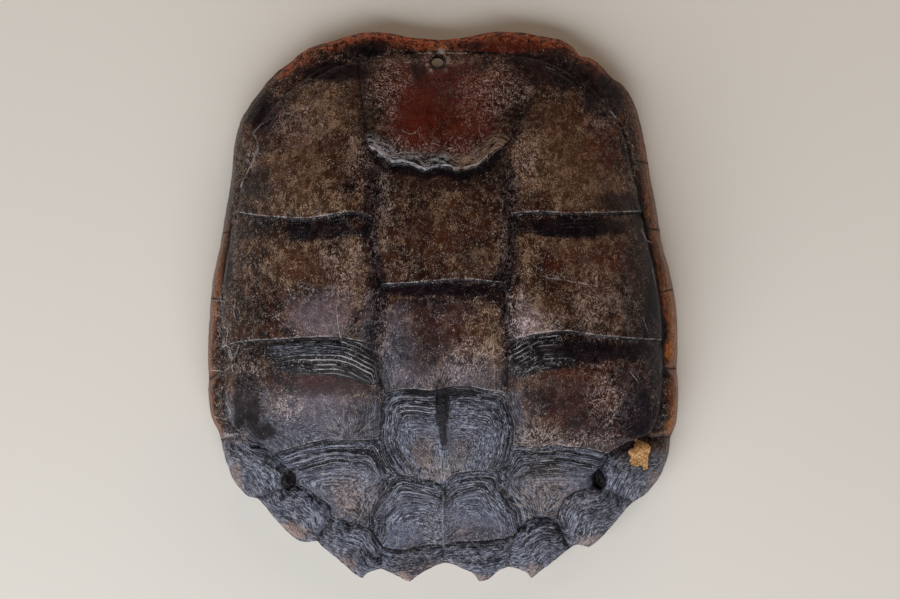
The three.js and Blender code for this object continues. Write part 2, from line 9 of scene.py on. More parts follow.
import bpy
import numpy as np
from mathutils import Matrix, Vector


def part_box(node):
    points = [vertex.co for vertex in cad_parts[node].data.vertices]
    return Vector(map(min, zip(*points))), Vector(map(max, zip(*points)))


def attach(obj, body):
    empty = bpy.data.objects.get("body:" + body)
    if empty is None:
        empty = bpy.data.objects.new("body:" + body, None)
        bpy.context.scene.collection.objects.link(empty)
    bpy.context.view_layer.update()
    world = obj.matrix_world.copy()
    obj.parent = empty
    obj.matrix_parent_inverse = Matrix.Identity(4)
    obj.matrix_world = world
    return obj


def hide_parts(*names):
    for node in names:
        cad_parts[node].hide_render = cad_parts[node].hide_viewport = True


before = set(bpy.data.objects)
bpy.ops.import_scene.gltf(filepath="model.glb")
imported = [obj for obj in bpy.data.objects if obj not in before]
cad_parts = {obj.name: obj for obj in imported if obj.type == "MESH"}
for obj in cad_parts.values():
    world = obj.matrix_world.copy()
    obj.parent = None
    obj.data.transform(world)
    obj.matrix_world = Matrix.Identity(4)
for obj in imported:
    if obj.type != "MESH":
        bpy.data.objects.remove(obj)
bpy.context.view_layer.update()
box_low, box_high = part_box("carapace")
METRE = 1000.0  # in millimetres

# ---- driving dimensions, as in the CAD model --------------------------------------------------
LENGTH = (box_high.y - box_low.y) * METRE
APEX_HEIGHT = 92.0
WALL = 6.5
LEAST_WALL = 2.8  # what the deepest seams and pits leave of it
EDGE_HEIGHT = {"side": 12.0, "front": 15.0, "rear": 15.0}  # upper edge of the margin
EDGE_UNDERSIDE = {"side": 0.0, "front": 8.0, "rear": 9.0}  # lower edge of the margin
SHAPE_POWER = {"side": 2.4, "front": 2.2, "rear": 2.0}  # larger is flatter on top
FALL_POWER = {"side": 0.62, "front": 1.1, "rear": 1.45}  # under 1 is a wall, over 1 a flared brim
FLANGE = 10.0  # width of the margin's underside
VAULT_START = 14.0  # where the vault starts to rise at a side, in from the margin
EDGE_INSET = 1.5  # how far the lower edge of the margin is set in from the upper one
HOLE = {"at": (437.5, 61), "radius": 3.6, "sides": 40, "cut": 60.0, "worn": 1.3, "worn_width": 2.4}
TEETH_START = 0.72  # share of the way out where the dome starts to follow each tooth of the margin
SIDE_ENDS = (0.5, 0.78)  # sines of the directions between which a side turns into an end
DIRECTIONS = 3600  # around the shell, in which the margin's radius is kept
AVERAGE = {"reach": 240, "spread": 100.0}  # of the evened-out margin, in directions
NORMAL = {"step": 0.5, "inside": 1.2}  # a normal is taken across two steps, a little further in

# The sheet that the scutes are drawn on, seen from EYE above the resting plane: x right and y down in
# squares, head end at the top.
EYE = 900.0
MID_X, MID_Y = 443.0, 306.6
LOBES_Y, POINTS_Y = 30.2, 583.0
SQUARE = LENGTH / (POINTS_Y - LOBES_Y) * EYE / (EYE - EDGE_HEIGHT["rear"])
PICTURE = {"width": 900, "height": 599}

# ---- mesh density -----------------------------------------------------------------------------
SPACING = 0.64
GRID_HALF = (148.0, 173.0)
UNDER_STEP = 4  # lines of the upper grid for each line of the underside's
RIM_ROWS = (0.3, 0.6, 0.85)  # of vertices from the upper edge of the margin to its lower one
TRIANGLES = 190000

# ---- the network of seams ---------------------------------------------------------------------
OUTER = [
    ("o0L", 406, 36.2), (392, 33.4), (378, 31), (362, 32.2),
    ("o1L", 346, 36.5), (330, 41.3), (314, 45.6),
    ("o2L", 300, 53.5), (291, 61.5), (280, 69), (270, 78.5),
    ("o3L", 263, 86.5), (257, 94.5), (249, 105.5), (241.5, 118), (237.5, 130), (234.5, 144),
    ("o4L", 233, 158), (231.5, 175), (228.5, 196), (225, 214),
    ("o5L", 222, 233), (218, 255), (213, 275),
    ("o6L", 210.5, 298), (209, 320), (207.3, 340), (206.5, 360),
    ("o7L", 208.5, 380), (207.5, 390), (209, 406), (212, 420), (218, 431),
    ("o8L", 220.5, 440), (223, 452), (228, 467), (233, 480), (241, 490.5), (248, 496.5),
    ("o9L", 257, 498.5), (263, 505), (277, 521.5), (290, 534.5), (299, 541), (306, 542.5),
    ("o10L", 317, 541), (326, 550), (340, 561.5), (351, 571.5), (362, 578.8), (367, 573.5), (374, 571),
    ("o11L", 381, 568.5), (392, 574), (401, 578.5), (409.5, 583), (417, 576.5), (430, 568.5),
    ("o12", 443, 563.5), (452, 564.5), (463, 569), (474, 574.5), (479.5, 583), (489, 579), (498, 571.5),
    ("o11R", 508, 567), (520, 569.5), (528, 574), (531.5, 578.8), (541, 571), (556, 560),
    ("o10R", 569, 549), (577, 545), (583, 545.6), (589.5, 547.6), (600, 539.5), (614, 524.5), (625, 511),
    ("o9R", 633, 503), (643, 496.5), (655, 484), (664, 468.5), (669, 453),
    ("o8R", 671, 437), (675.5, 427), (678.5, 408), (679.5, 390),
    ("o7R", 677, 369), (678.3, 345), (678, 325), (676.3, 305),
    ("o6R", 674, 289.5), (670, 272), (663.5, 249),
    ("o5R", 660, 230), (656, 205), (651.5, 183),
    ("o4R", 648.5, 163), (646, 147), (641.5, 127), (636.5, 108), (629, 93), (621, 83),
    ("o3R", 612.5, 78), (604, 68), (592, 58.5),
    ("o2R", 579.5, 55), (573, 46.5), (564, 40.8), (547, 36.7),
    ("o1R", 528, 33.2), (513, 31), (499, 30.2), (484, 33),
    ("o0R", 470, 36), (456, 38), (440, 39.6), (422, 38),
]
INNER = [
    ("i0L", 412, 51), (385, 52), ("aL", 357, 55), ("i1L", 346, 58), (330, 63),
    ("i2L", 312, 72), (294, 85), ("i3L", 276, 101), (262, 118), (253, 132), (257, 150),
    ("i4L", 250, 165), (242, 180), (237, 198), ("bL", 234, 214), ("i5L", 229, 232), (225, 255),
    (221, 278), ("i6L", 220, 299), (219, 325), ("cL", 220, 350), ("i7L", 222, 368), (222, 385),
    (221, 400), (224, 416), (231, 428), ("i8L", 243, 437), (253, 445), (263, 450), ("dL", 271, 457),
    (280, 465), (286, 475), ("i9L", 291, 487), (300, 489.5), (308, 493), (318, 501), (328, 508),
    ("i10L", 331, 519), (345, 523), (358, 526), ("eL", 369, 531), (376, 539), ("i11L", 382, 549),
    (400, 552), (420, 548), ("i12", 443, 545), (460, 544), (480, 543), (500, 541), ("i11R", 513, 538),
    ("eR", 522, 527), (535, 520), (547, 519.5), ("i10R", 557, 521), (560, 510), (566, 501), (575, 494),
    (586, 490), ("i9R", 599, 487), (601, 479), (606, 468), ("dR", 612, 457), (618, 453), (632, 446),
    ("i8R", 648, 438), (656, 428), (661, 415), (664, 395), ("i7R", 665, 368), ("cR", 665, 342),
    (664, 315), ("i6R", 661, 292), (657, 270), (652, 250), ("i5R", 647, 228), ("bR", 644, 213),
    (641, 200), (636, 180), ("i4R", 631, 160), (627, 142), (620, 125), (610, 110), ("i3R", 598, 96),
    (585, 83), ("i2R", 570, 72), (550, 62), ("i1R", 530, 56), ("aR", 515, 54), (490, 52),
    ("i0R", 464, 51), (438, 51),
]
SIDES = [
    [
        ("aL", 357, 55), (359, 80), (362, 105), (365, 130), ("pL", 368, 147), (371, 170), (372, 194),
        ("qL", 371, 217), (370, 235), (372, 255), (375, 272), ("rL", 379, 286), (378, 305), (376, 325),
        ("tL", 373, 347), (376, 365), (379, 382), ("uL", 384, 397), (382, 415), (380, 430),
        ("wL", 380, 443), (385, 458), (391, 468), ("yL", 398, 477), (388, 490), (378, 502), (370, 515),
        ("eL", 369, 531),
    ],
    [
        ("aR", 515, 54), (519, 75), (522, 95), (521, 115), (513, 135), ("pR", 500, 148), (505, 170),
        (509, 192), ("qR", 511, 214), (512, 235), (510, 255), (507, 270), ("rR", 505, 284), (506, 305),
        (508, 325), ("tR", 511, 343), (510, 360), (508, 380), ("uR", 505, 396), (509, 412), (514, 430),
        ("wR", 512, 447), (508, 460), ("yR", 500, 474), (498, 487), (508, 500), (519, 511),
        ("eR", 522, 527),
    ],
]
CROSS = [
    [("pL", 368, 147), (380, 155), (393, 164), (408, 165), (425, 172), (436, 168), (447, 168), (455, 172),
     (470, 169), (485, 161), ("pR", 500, 148)],
    [("rL", 379, 286), (400, 285), (420, 284), (450, 281), (480, 282), ("rR", 505, 284)],
    [("uL", 384, 397), (400, 392), (415, 391), (430, 392), (450, 389), (470, 388.5), (485, 392),
     ("uR", 505, 396)],
    [("yL", 398, 477), (415, 479), (430, 482), (440, 484), (452, 477), (475, 473), ("yR", 500, 474)],
    [("bL", 234, 214), (250, 216), (278, 219), (305, 220), (330, 217), (352, 213), ("qL", 371, 217)],
    [("cL", 220, 350), (235, 345), (255, 342), (280, 341), (305, 339), (340, 339), (355, 342),
     ("tL", 373, 347)],
    [("dL", 271, 457), (285, 452), (300, 448), (315, 443), (330, 440.5), (347, 440), (362, 441),
     ("wL", 380, 443)],
    [("bR", 644, 213), (620, 214), (590, 215), (560, 215), (535, 213), ("qR", 511, 214)],
    [("cR", 665, 342), (645, 341), (620, 339), (590, 336), (565, 332.5), (545, 334), (525, 338),
     ("tR", 511, 343)],
    [("dR", 612, 457), (590, 451), (570, 448), (548, 446), (530, 448), ("wR", 512, 447)],
]
MARGINALS = 12


# ---- numbers over many points -----------------------------------------------------------------
def smooth(low, high, x):
    """From 0 to 1 while x goes from low to high."""
    t = np.clip((x - low) / (high - low), 0, 1)
    return t * t * (3 - 2 * t)


def bell(x, width):
    return np.exp(-((x / width) ** 2))


LATTICE = np.random.default_rng(11).random((256, 256)) * 2 - 1


def noise(x, y, seed):
    """Smooth noise from -1 to 1 with one knot per unit."""
    x = np.asarray(x, float) + 17.31 * seed
    y = np.asarray(y, float) + 43.77 * seed
    i, j = np.floor(x).astype(int), np.floor(y).astype(int)
    u, v = x - i, y - j
    u = u * u * u * (u * (6 * u - 15) + 10)
    v = v * v * v * (v * (6 * v - 15) + 10)
    low = LATTICE[i & 255, j & 255] * (1 - u) + LATTICE[(i + 1) & 255, j & 255] * u
    high = LATTICE[i & 255, (j + 1) & 255] * (1 - u) + LATTICE[(i + 1) & 255, (j + 1) & 255] * u
    return low * (1 - v) + high * v


def layers(x, y, seed, count):
    """Noise with finer and weaker noise on top, each layer twice as fine as the last."""
    total, weight = 0.0, 0.0
    for k in range(count):
        total = total + noise(x * 2**k, y * 2**k, seed + 7 * k) * 0.5**k
        weight += 0.5**k
    return total / weight


def uneven(p, size, seed, count):
    """Layered noise at points, with knots so many millimetres apart."""
    return layers(p[:, 0] / size, p[:, 1] / size, seed, count)


def on_sheet(x, y):
    """Millimetres from the middle, for squares of the sheet."""
    return (np.asarray(x, float) - MID_X) * SQUARE, (MID_Y - np.asarray(y, float)) * SQUARE


def drawn(points):
    return np.stack(on_sheet(*np.array(points).T), axis=1)


def row_of(p):
    return MID_Y - p[:, 1] / SQUARE


def distance(p, line):
    """Distance from each point to a polyline."""
    best = np.full(len(p), 1e9)
    for (ax, ay), (bx, by) in zip(line[:-1], line[1:]):
        dx, dy = bx - ax, by - ay
        t = ((p[:, 0] - ax) * dx + (p[:, 1] - ay) * dy) / (dx * dx + dy * dy + 1e-12)
        t = np.clip(t, 0, 1)
        d = (p[:, 0] - ax - t * dx) ** 2 + (p[:, 1] - ay - t * dy) ** 2
        np.minimum(best, d, out=best)
    return np.sqrt(best)


def inside(p, loop):
    """Which points are inside a closed loop."""
    found = np.zeros(len(p), bool)
    low, high = loop.min(0), loop.max(0)
    near = np.where(((p >= low) & (p <= high)).all(1))[0]
    x, y = p[near, 0], p[near, 1]
    hits = np.zeros(len(near), bool)
    for (ax, ay), (bx, by) in zip(loop, np.roll(loop, -1, axis=0)):
        if ay == by:
            continue
        spans = (ay > y) != (by > y)
        hits ^= spans & (x < (bx - ax) * (y - ay) / (by - ay) + ax)
    found[near] = hits
    return found


# ---- smooth lines through the listed points ---------------------------------------------------
SAMPLE = 1.4  # between points of a smoothed line
CORNER = math.radians(34)  # a sharper turn stays a corner
WOBBLE = {"size": 0.35, "period": 5.0}


def smooth_line(knots, closed):
    """A curve through the knots that stays sharp where the drawing turns sharply."""
    knots = np.array(knots)
    n = len(knots)
    before = np.roll(knots, 1, axis=0)
    after = np.roll(knots, -1, axis=0)
    if not closed:
        before[0], after[-1] = knots[0], knots[-1]
    incoming, outgoing = knots - before, after - knots
    if not closed:
        incoming[0], outgoing[-1] = outgoing[0], incoming[-1]
    unit_in = incoming / np.linalg.norm(incoming, axis=1)[:, None]
    unit_out = outgoing / np.linalg.norm(outgoing, axis=1)[:, None]
    mean = unit_in + unit_out
    mean /= np.linalg.norm(mean, axis=1)[:, None]
    sharp = (unit_in * unit_out).sum(1) < math.cos(CORNER)
    start = np.where(sharp[:, None], unit_out, mean)
    end = np.where(sharp[:, None], unit_in, mean)
    points, places = [], []
    for i in range(n if closed else n - 1):
        a, b = knots[i], knots[(i + 1) % n]
        span = np.linalg.norm(b - a)
        parts = max(1, int(round(span / SAMPLE)))
        places.append(len(points))
        for t in np.arange(parts) / parts:
            h = (2 * t**3 - 3 * t**2 + 1, t**3 - 2 * t**2 + t, 3 * t**2 - 2 * t**3, t**3 - t**2)
            points.append(h[0] * a + h[1] * span * start[i] + h[2] * b + h[3] * span * end[(i + 1) % n])
    if closed:
        points.append(points[0])
    else:
        places.append(len(points))
        points.append(knots[-1])
    points = np.array(points)
    k = 1 / WOBBLE["period"]
    shift = [layers(points[:, 0] * k, points[:, 1] * k, seed, 2) for seed in (3, 5)]
    return points + WOBBLE["size"] * np.stack(shift, axis=1), places


lines = []


def add_line(kind, listed, closed=False):
    points, places = smooth_line([np.array(on_sheet(*p[-2:])) for p in listed], closed)
    labels = {p[0]: place for p, place in zip(listed, places) if len(p) == 3}
    lines.append({"kind": kind, "points": points, "labels": labels, "closed": closed})


def labelled(listed):
    return {p[0]: p for p in listed if len(p) == 3}


add_line("outer", OUTER, closed=True)
add_line("inner", INNER, closed=True)
for side_line in SIDES:
    add_line("side", side_line)
for cross_line in CROSS:
    add_line("cross", cross_line)
corner_of = {**labelled(OUTER), **labelled(INNER)}
ends = [f"{k}{side}" for side in "LR" for k in range(MARGINALS)] + ["12"]
for end in ends:
    add_line("marginal", [corner_of["i" + end], corner_of["o" + end]])


def stretch(a, b):
    """The points from one label to another on the line that holds both, and the kind of that line."""
    options = []
    for line in lines:
        if a not in line["labels"] or b not in line["labels"]:
            continue
        i, j = line["labels"][a], line["labels"][b]
        points = line["points"]
        if not line["closed"]:
            options.append((points[i : j + 1] if i <= j else points[j : i + 1][::-1], line["kind"]))
            continue
        ring = points[:-1]
        forward = np.roll(ring, -i, axis=0)[: (j - i) % len(ring) + 1]
        backward = np.roll(ring[::-1], i + 1, axis=0)[: (i - j) % len(ring) + 1]
        options.append((forward if len(forward) < len(backward) else backward, line["kind"]))
    return min(options, key=lambda option: len(option[0]))


# ---- the dome ---------------------------------------------------------------------------------
def polar_table(points):
    """Radius of a closed line in every direction."""
    angle = np.arctan2(points[:-1, 1], points[:-1, 0])
    radius = np.hypot(points[:-1, 0], points[:-1, 1])
    order = np.argsort(angle)
    turn = np.linspace(-math.pi, math.pi, DIRECTIONS + 1)
    return turn, np.interp(turn, angle[order], radius[order], period=2 * math.pi)


TURN, RADII = polar_table(lines[0]["points"])
offsets = np.arange(-AVERAGE["reach"], AVERAGE["reach"] + 1)
weights = bell(offsets, AVERAGE["spread"])
EVEN = sum(w * np.roll(RADII[:-1], -k) for w, k in zip(weights, offsets)) / weights.sum()
EVEN = np.append(EVEN, EVEN[0])


def margin_radius(angle):
    return np.interp(angle, TURN, RADII)


def even_radius(angle):
    return np.interp(angle, TURN, EVEN)


def by_direction(value, angle):
    """Goes from a side's value to that of the front or the rear."""
    up = np.sin(angle)
    share = up * up
    return value["side"] * (1 - share) + np.where(up > 0, value["front"], value["rear"]) * share


def side_share(angle):
    return 1 - smooth(*SIDE_ENDS, np.abs(np.sin(angle)))


def in_space(x, y, z):
    """The point at height z that is seen at a place on the sheet."""
    return np.stack([x * (EYE - z) / EYE, y * (EYE - z) / EYE, z], axis=-1)


def dome_height(x, y):
    angle = np.arctan2(y, x)
    r = np.hypot(x, y)
    even = even_radius(angle)
    t = smooth(TEETH_START, 1.0, r / even)
    s = np.clip(r / (even * (1 - t) + margin_radius(angle) * t), 0, 1)
    fall = (1 - s ** by_direction(SHAPE_POWER, angle)) ** by_direction(FALL_POWER, angle)
    top = by_direction(EDGE_HEIGHT, angle)
    return top + (APEX_HEIGHT - top) * fall


def dome(x, y):
    return in_space(x, y, dome_height(x, y))


def dome_normal(x, y):
    d = NORMAL["step"]
    pull = np.maximum(0, 1 - NORMAL["inside"] / np.maximum(np.hypot(x, y), 1e-6))
    x, y = x * pull, y * pull
    normal = np.cross(dome(x + d, y) - dome(x - d, y), dome(x, y + d) - dome(x, y - d))
    return normal / np.linalg.norm(normal, axis=-1, keepdims=True)


# ---- broad forms ------------------------------------------------------------------------------
LUMPS = [  # x, y and radius in squares, height
    (341, 318, 24, 2.4), (349, 420, 24, 2.6), (543, 312, 24, 2.4), (538, 424, 24, 2.6),
    (318, 190, 26, 1.8), (572, 188, 26, 1.8), (437, 118, 28, 2.0), (294, 477, 7, -3.2),
    (596, 479, 7.5, -3.4), (246, 412, 15, -1.8), (634, 412, 15, -1.8), (262, 482, 9, 2.2),
    (300, 515, 12, 2.4), (345, 541, 12, 2.6), (366, 553, 5, -2.2), (410, 564, 9, 1.6), (478, 562, 9, 1.6),
    (538, 541, 13, 3.0), (592, 517, 13, 2.4), (628, 474, 11, 2.2), (403, 530, 8, -1.4),
    (390, 480, 7, -1.2), (505, 480, 6, -1.0),
]
# rows of the sheet say where the furrows beside the vertebrals and the keel set in and end
FURROW = {
    "depth": 2.2, "width": 9.0, "shallow": 0.4,
    "sets_in": (45, 75), "deepens": (120, 175), "ends": (430, 480),
}
KEEL = {"height": 2.2, "width": 4.5, "rises": (392, 432), "ends": (540, 552)}
SWELL = {"height": 0.45, "size": 17.0}
SEAM = {  # depth, and width of the groove on its far and near side
    "cross": (1.9, 1.5, 0.9), "side": (1.7, 1.5, 1.5), "inner": (1.4, 1.6, 1.6),
    "marginal": (1.2, 1.6, 1.6), "none": (0.0, 1.0, 1.0),
}
CREVICES = [  # depth, width, points; a negative depth is a ridge
    (3.2, 2.2, [(256, 446), (268, 455), (280, 467), (288, 480), (293, 489)]),
    (1.8, 1.4, [(300, 489.5), (318, 501), (331, 510)]),
    (3.2, 2.2, [(652, 438), (632, 446), (612, 457), (603, 470), (600, 488)]),
    (2.4, 1.4, [(520, 530), (535, 520.5), (552, 521), (561, 530), (569, 547)]),
    (1.8, 1.2, [(350, 548), (362, 550), (372, 555), (381, 562)]),
    (1.2, 1.0, [(385, 556), (405, 557), (425, 555)]),
    (1.6, 1.2, [(431, 483), (441, 485), (452, 478), (460, 476)]),
    (-1.3, 1.3, [(272, 121), (258, 128), (253, 134), (257, 149), (252, 165), (240, 186)]),
    (-0.9, 1.1, [(575, 74), (596, 95), (612, 112), (624, 130), (632, 155)]),
    (1.2, 1.0, [(312, 78), (334, 66), (352, 61)]), (1.0, 1.0, [(545, 66), (566, 76), (588, 93)]),
    (-0.8, 0.9, [(443, 489), (443, 548)]), (-0.5, 0.8, [(209, 299), (214, 301), (220, 299)]),
    (-0.6, 0.8, [(207, 371), (218, 369), (226, 364), (236, 363)]),
]


def broad_forms(p):
    """Swellings, hollows, the long furrows, the keel and crevices, as height over the dome."""
    x, y = p[:, 0], p[:, 1]
    row = row_of(p)
    to_side = np.minimum(distance(p, lines[2]["points"]), distance(p, lines[3]["points"]))
    deep = 1 - FURROW["shallow"]
    share = FURROW["shallow"] * smooth(*FURROW["sets_in"], row) + deep * smooth(*FURROW["deepens"], row)
    share = share * (1 - smooth(*FURROW["ends"], row))
    height = -FURROW["depth"] * share * bell(to_side, FURROW["width"])
    for cx, cy, radius, lift in LUMPS:
        mx, my = on_sheet(cx, cy)
        height += lift * np.exp(-((x - mx) ** 2 + (y - my) ** 2) / (radius * SQUARE) ** 2)
    along = smooth(*KEEL["rises"], row) * (1 - smooth(*KEEL["ends"], row))
    height += KEEL["height"] * along * bell(x, KEEL["width"])
    for depth, width, points in CREVICES:
        line, _ = smooth_line(drawn(points), False)
        low, high = line.min(0) - 4 * width, line.max(0) + 4 * width
        near = ((p > low) & (p < high)).all(1)
        height[near] -= depth * bell(distance(p[near], line), width)
    return height + SWELL["height"] * uneven(p, SWELL["size"], 21, 2)


def soft_limit(value, start, most):
    """Eases values beyond start so that they never pass most."""
    room = most - start
    over = np.maximum(np.abs(value) - start, 0)
    return np.sign(value) * (np.minimum(np.abs(value), start) + room * (1 - np.exp(-over / room)))


# ---- the scutes -------------------------------------------------------------------------------
def scute_table():
    """Each scute by its corners, with the lines at its front, its rear and its sides."""
    table = {
        "v1": dict(corners="aL pL pR aR", front="aL aR", rear="pL pR", sides=["aL pL", "aR pR"]),
        "v2": dict(corners="pL rL rR pR", front="pL pR", rear="rL rR", sides=["pL rL", "pR rR"]),
        "v3": dict(corners="rL uL uR rR", front="rL rR", rear="uL uR", sides=["rL uL", "rR uR"]),
        "v4": dict(corners="uL yL yR uR", front="uL uR", rear="yL yR", sides=["uL yL", "uR yR"]),
        "v5": dict(corners="yL eL eR yR", front="yL yR", rear="eL eR", sides=["yL eL", "yR eR"]),
    }
    for s in "LR":
        table["c1" + s] = dict(corners="a b q p", rear="b q", sides=["a p", "p q"], outside="a b")
        table["c2" + s] = dict(corners="b c t q", front="b q", rear="c t", sides=["q t"], outside="b c")
        table["c3" + s] = dict(corners="c d w t", front="c t", rear="d w", sides=["t w"], outside="c d")
        table["c4" + s] = dict(corners="d e y w", front="d w", sides=["w y", "y e"], outside="d e")
        for k in range(1, 5):
            spec = table[f"c{k}{s}"]
            for key in ("corners", "front", "rear", "outside"):
                if key in spec:
                    spec[key] = " ".join(c + s for c in spec[key].split())
            spec["sides"] = [" ".join(c + s for c in pair.split()) for pair in spec["sides"]]
    return table


# Growth ridges of each scute: band behind its front seam, height, spacing, and height along its sides.
GROWTH = {
    "v1": (0, 0.0, 3.0, 0.08), "v2": (8, 0.22, 2.4, 0.12), "v3": (15, 0.30, 2.4, 0.14),
    "v4": (23, 0.62, 2.6, 0.20), "v5": (13, 0.40, 2.4, 0.14),
    "c1": (0, 0.0, 3.0, 0.08), "c2": (16, 0.34, 2.6, 0.12), "c3": (26, 0.85, 2.8, 0.16),
    "c4": (22, 0.60, 2.5, 0.16),
}
FRONT_WIDTH = 8.0
SIDE_BAND = 9.0
LIP = {"v1": 1.5, "v2": 0.35, "v3": 0.4, "v4": 0.3, "c1": 0.35, "c2": 0.5, "c3": 0.4}
LIP_WIDTH, FIRST_LIP_WIDTH = 3.0, 7.0
AROUND = 30.0  # radius that stands for the way around a large scute, in the noise along its growth lines
AROUND_MARGIN = 140.0  # and for the way around the margin
FAR = 60.0  # stands for the distance to a line that a scute lacks
TURN_SOFTNESS = 1.6  # of the turn between the growth ridges of the front and those of the sides
GROOVE = 0.42  # half width of the groove between two growth ridges
MARGINAL_RIDGE = {"height": 0.22, "spacing": 2.1, "groove": 0.4}
REAR_GREY_AND_SHEEN = {  # rows between which the blue-grey of the rear sets in, and its most; that blue-grey is grey horn and painted sheen
    "v3": (345, 410, 0.6), "v4": (375, 388, 1.0), "v5": (0, 1, 1.0), "c3L": (378, 435, 0.8),
    "c3R": (425, 455, 0.2), "c4L": (0, 1, 1.0), "c4R": (0, 1, 1.0),
}
FANS = {  # where radiating wrinkles meet, their reach and height, and the share of pale strokes
    "c2L": (341, 339, 24, 0.22, 0.3), "c3L": (350, 441, 26, 0.26, 0.6), "c2R": (543, 334, 22, 0.20, 0.3),
    "c3R": (539, 443, 20, 0.24, 1.0), "v4": (443, 480, 22, 0.24, 0.8), "v5": (443, 546, 30, 0.20, 0.35),
    "c4L": (369, 522, 30, 0.26, 0.8), "c4R": (540, 520, 34, 0.24, 0.8), "v3": (441, 391, 18, 0.14, 0.5),
    "c1L": (345, 214, 16, 0.10, 0.0), "c1R": (536, 214, 16, 0.10, 0.0),
}


def soft_min(values, k):
    return -k * np.log(sum(np.exp(-v / k) for v in values))


def seam_drop(d, kind, near=False):
    depth, far_width, near_width = SEAM[kind]
    return depth * bell(d, near_width if near else far_width)


def to_line(p, spec, key):
    """Distance to one of a scute's lines and the kind of that line. Every scute lacks some."""
    if key not in spec:
        return np.full(len(p), FAR), "none"
    line, kind = stretch(*spec[key].split())
    return distance(p, line), kind


def growth_ridges(name, p, ring, to_front, to_side, to_outside):
    """Relief of the ridges along a scute's growth lines, its strength, and the number of each line."""
    x, y = p[:, 0], p[:, 1]
    band, front_height, spacing, side_height = GROWTH[name[:2]]
    turns = ring / spacing
    nearest = np.round(turns)
    groove = bell((turns - nearest) * spacing, GROOVE) * (0.55 + 0.45 * noise(nearest * 3.1, x / 25, 5))
    at_front = front_height * (1 - smooth(0.7 * band, band + 1, to_front)) * smooth(3, 20, to_outside)
    at_front = at_front * (0.75 + 0.4 * noise(x / 12, y / 9, 8))
    if name[:2] == "c3":
        at_front = at_front * (0.3 + 0.7 * smooth(62, 26, to_side)) * (0.6 if name == "c3R" else 1.0)
    at_side = side_height * (1 - smooth(0.5 * SIDE_BAND, SIDE_BAND, to_side))
    at_side = at_side * (0.8 + 0.4 * noise(x / 9, y / 14, 9))
    strength = np.maximum(at_front, at_side)
    if name == "v4":
        strength = strength * (1 - 0.9 * bell(x, 4.5) * (to_front < 34))
    return strength * (0.55 * np.cos(2 * math.pi * turns) - 1.1 * groove), strength, turns


def fan_of(name, p):
    """Relief of the wrinkles that meet at one point of a scute, and what its strokes of colour need."""
    if name not in FANS:
        return 0.0, {"fan": 0.0, "fan_turn": 0.0, "fan_reach": 0.0}
    fan_x, fan_y, most, height, strokes = FANS[name]
    mx, my = on_sheet(fan_x, fan_y)
    reach = np.hypot(p[:, 0] - mx, p[:, 1] - my)
    turn = np.arctan2(p[:, 0] - mx, p[:, 1] - my)
    rays = noise(turn * 9, reach / 11, 51) + 0.7 * noise(turn * 19, reach / 8, 52)
    window = smooth(0.8, 5, reach) * (1 - smooth(0.45 * most, most, reach))
    return height * rays * window, {"fan": strokes * window, "fan_turn": turn, "fan_reach": reach}


def lip_strands(x, y, to_rear):
    """The torn strands at the rear lip of the first vertebral."""
    bend = 2.2 * noise(x / 9, y / 9, 44)
    outer = 0.30 * bell(to_rear - 4.0, 5.0) * noise(x / 9, to_rear + bend, 42)
    return outer + 0.24 * bell(to_rear - 7.5, 5.0) * noise(x / 7, (to_rear + 2 * bend) / 1.1, 43)


def large_scute(name, spec, p):
    """Relief of one large scute, and what its material needs to know."""
    x, y = p[:, 0], p[:, 1]
    group = name[:2]
    side_lines = [stretch(*pair.split())[0] for pair in spec["sides"]]
    to_side = np.min([distance(p, line) for line in side_lines], axis=0)
    to_front, front_kind = to_line(p, spec, "front")
    to_rear, rear_kind = to_line(p, spec, "rear")
    to_outside, outside_kind = to_line(p, spec, "outside")
    drop = np.max([
        seam_drop(to_side, "side") * (1 - 0.5 * smooth(-60, -100, y)) * (1 - 0.6 * smooth(70, 110, y)),
        seam_drop(to_outside, outside_kind) * (1 - 0.5 * smooth(40, 90, y)),
        SEAM[front_kind][0] * bell(to_front, FRONT_WIDTH),
        seam_drop(to_rear, rear_kind, near=True),
    ], axis=0)
    seam = np.min([to_side, to_front, to_rear, to_outside], axis=0)
    # growth lines follow the front and the sides, with a round turn between them
    first, at_side = to_rear if name == "v1" else to_front, to_side * 1.1 + 1.5
    if group in ("c2", "c3"):
        first, at_side = first - 0.25 * np.maximum(18 - to_side, 0), to_side * 2.6 + 4
    ring = soft_min([first, at_side, to_outside * 2.2 + 12], TURN_SOFTNESS) + 0.8 * uneven(p, 14, 31, 2)
    ridges, strength, turns = growth_ridges(name, p, ring, to_front, to_side, to_outside)
    cx, cy = np.mean([side_lines[0].mean(0), side_lines[-1].mean(0)], axis=0)
    turn = np.arctan2(x - cx, y - cy)
    # the worn, slightly raised lip at the rear edge
    lip = LIP.get(group, 0.0) * (0.8 + 0.4 * noise(x / 8, y / 8, 33))
    edge = lip * np.exp(-to_rear / (FIRST_LIP_WIDTH if name == "v1" else LIP_WIDTH))
    wrinkle, fan = fan_of(name, p)
    if name == "v1":
        wrinkle = wrinkle + lip_strands(x, y, to_rear)
    # long, nearly parallel creases over the older, rear-facing parts
    old = 0.34 * smooth(-20, -90, y)
    if group == "c3":
        old = old * smooth(22, 8, to_side)
    bend = 1.3 * noise(x / 13, y / 13, 55)
    wrinkle = wrinkle + old * smooth(20, 10, ring) * noise((ring + bend) / 1.6, 2.2 * turn, 56)
    around = (x, 0.3 * y) if group in ("c1", "c2", "c3") else (AROUND * np.sin(turn), AROUND * np.cos(turn))
    low, high, most = REAR_GREY_AND_SHEEN.get(name, (0, 1, 0))
    return {
        "height": edge - drop, "fine": (ridges + wrinkle) * smooth(0.1, 1.2, seam), "seam": seam,
        "ring": ring, "turns": turns, "ridged": strength,
        "front": to_front, "rear": to_rear, "side": to_side,
        "around_x": around[0], "around_y": around[1], "grey": most * smooth(low, high, row_of(p)), **fan,
    }


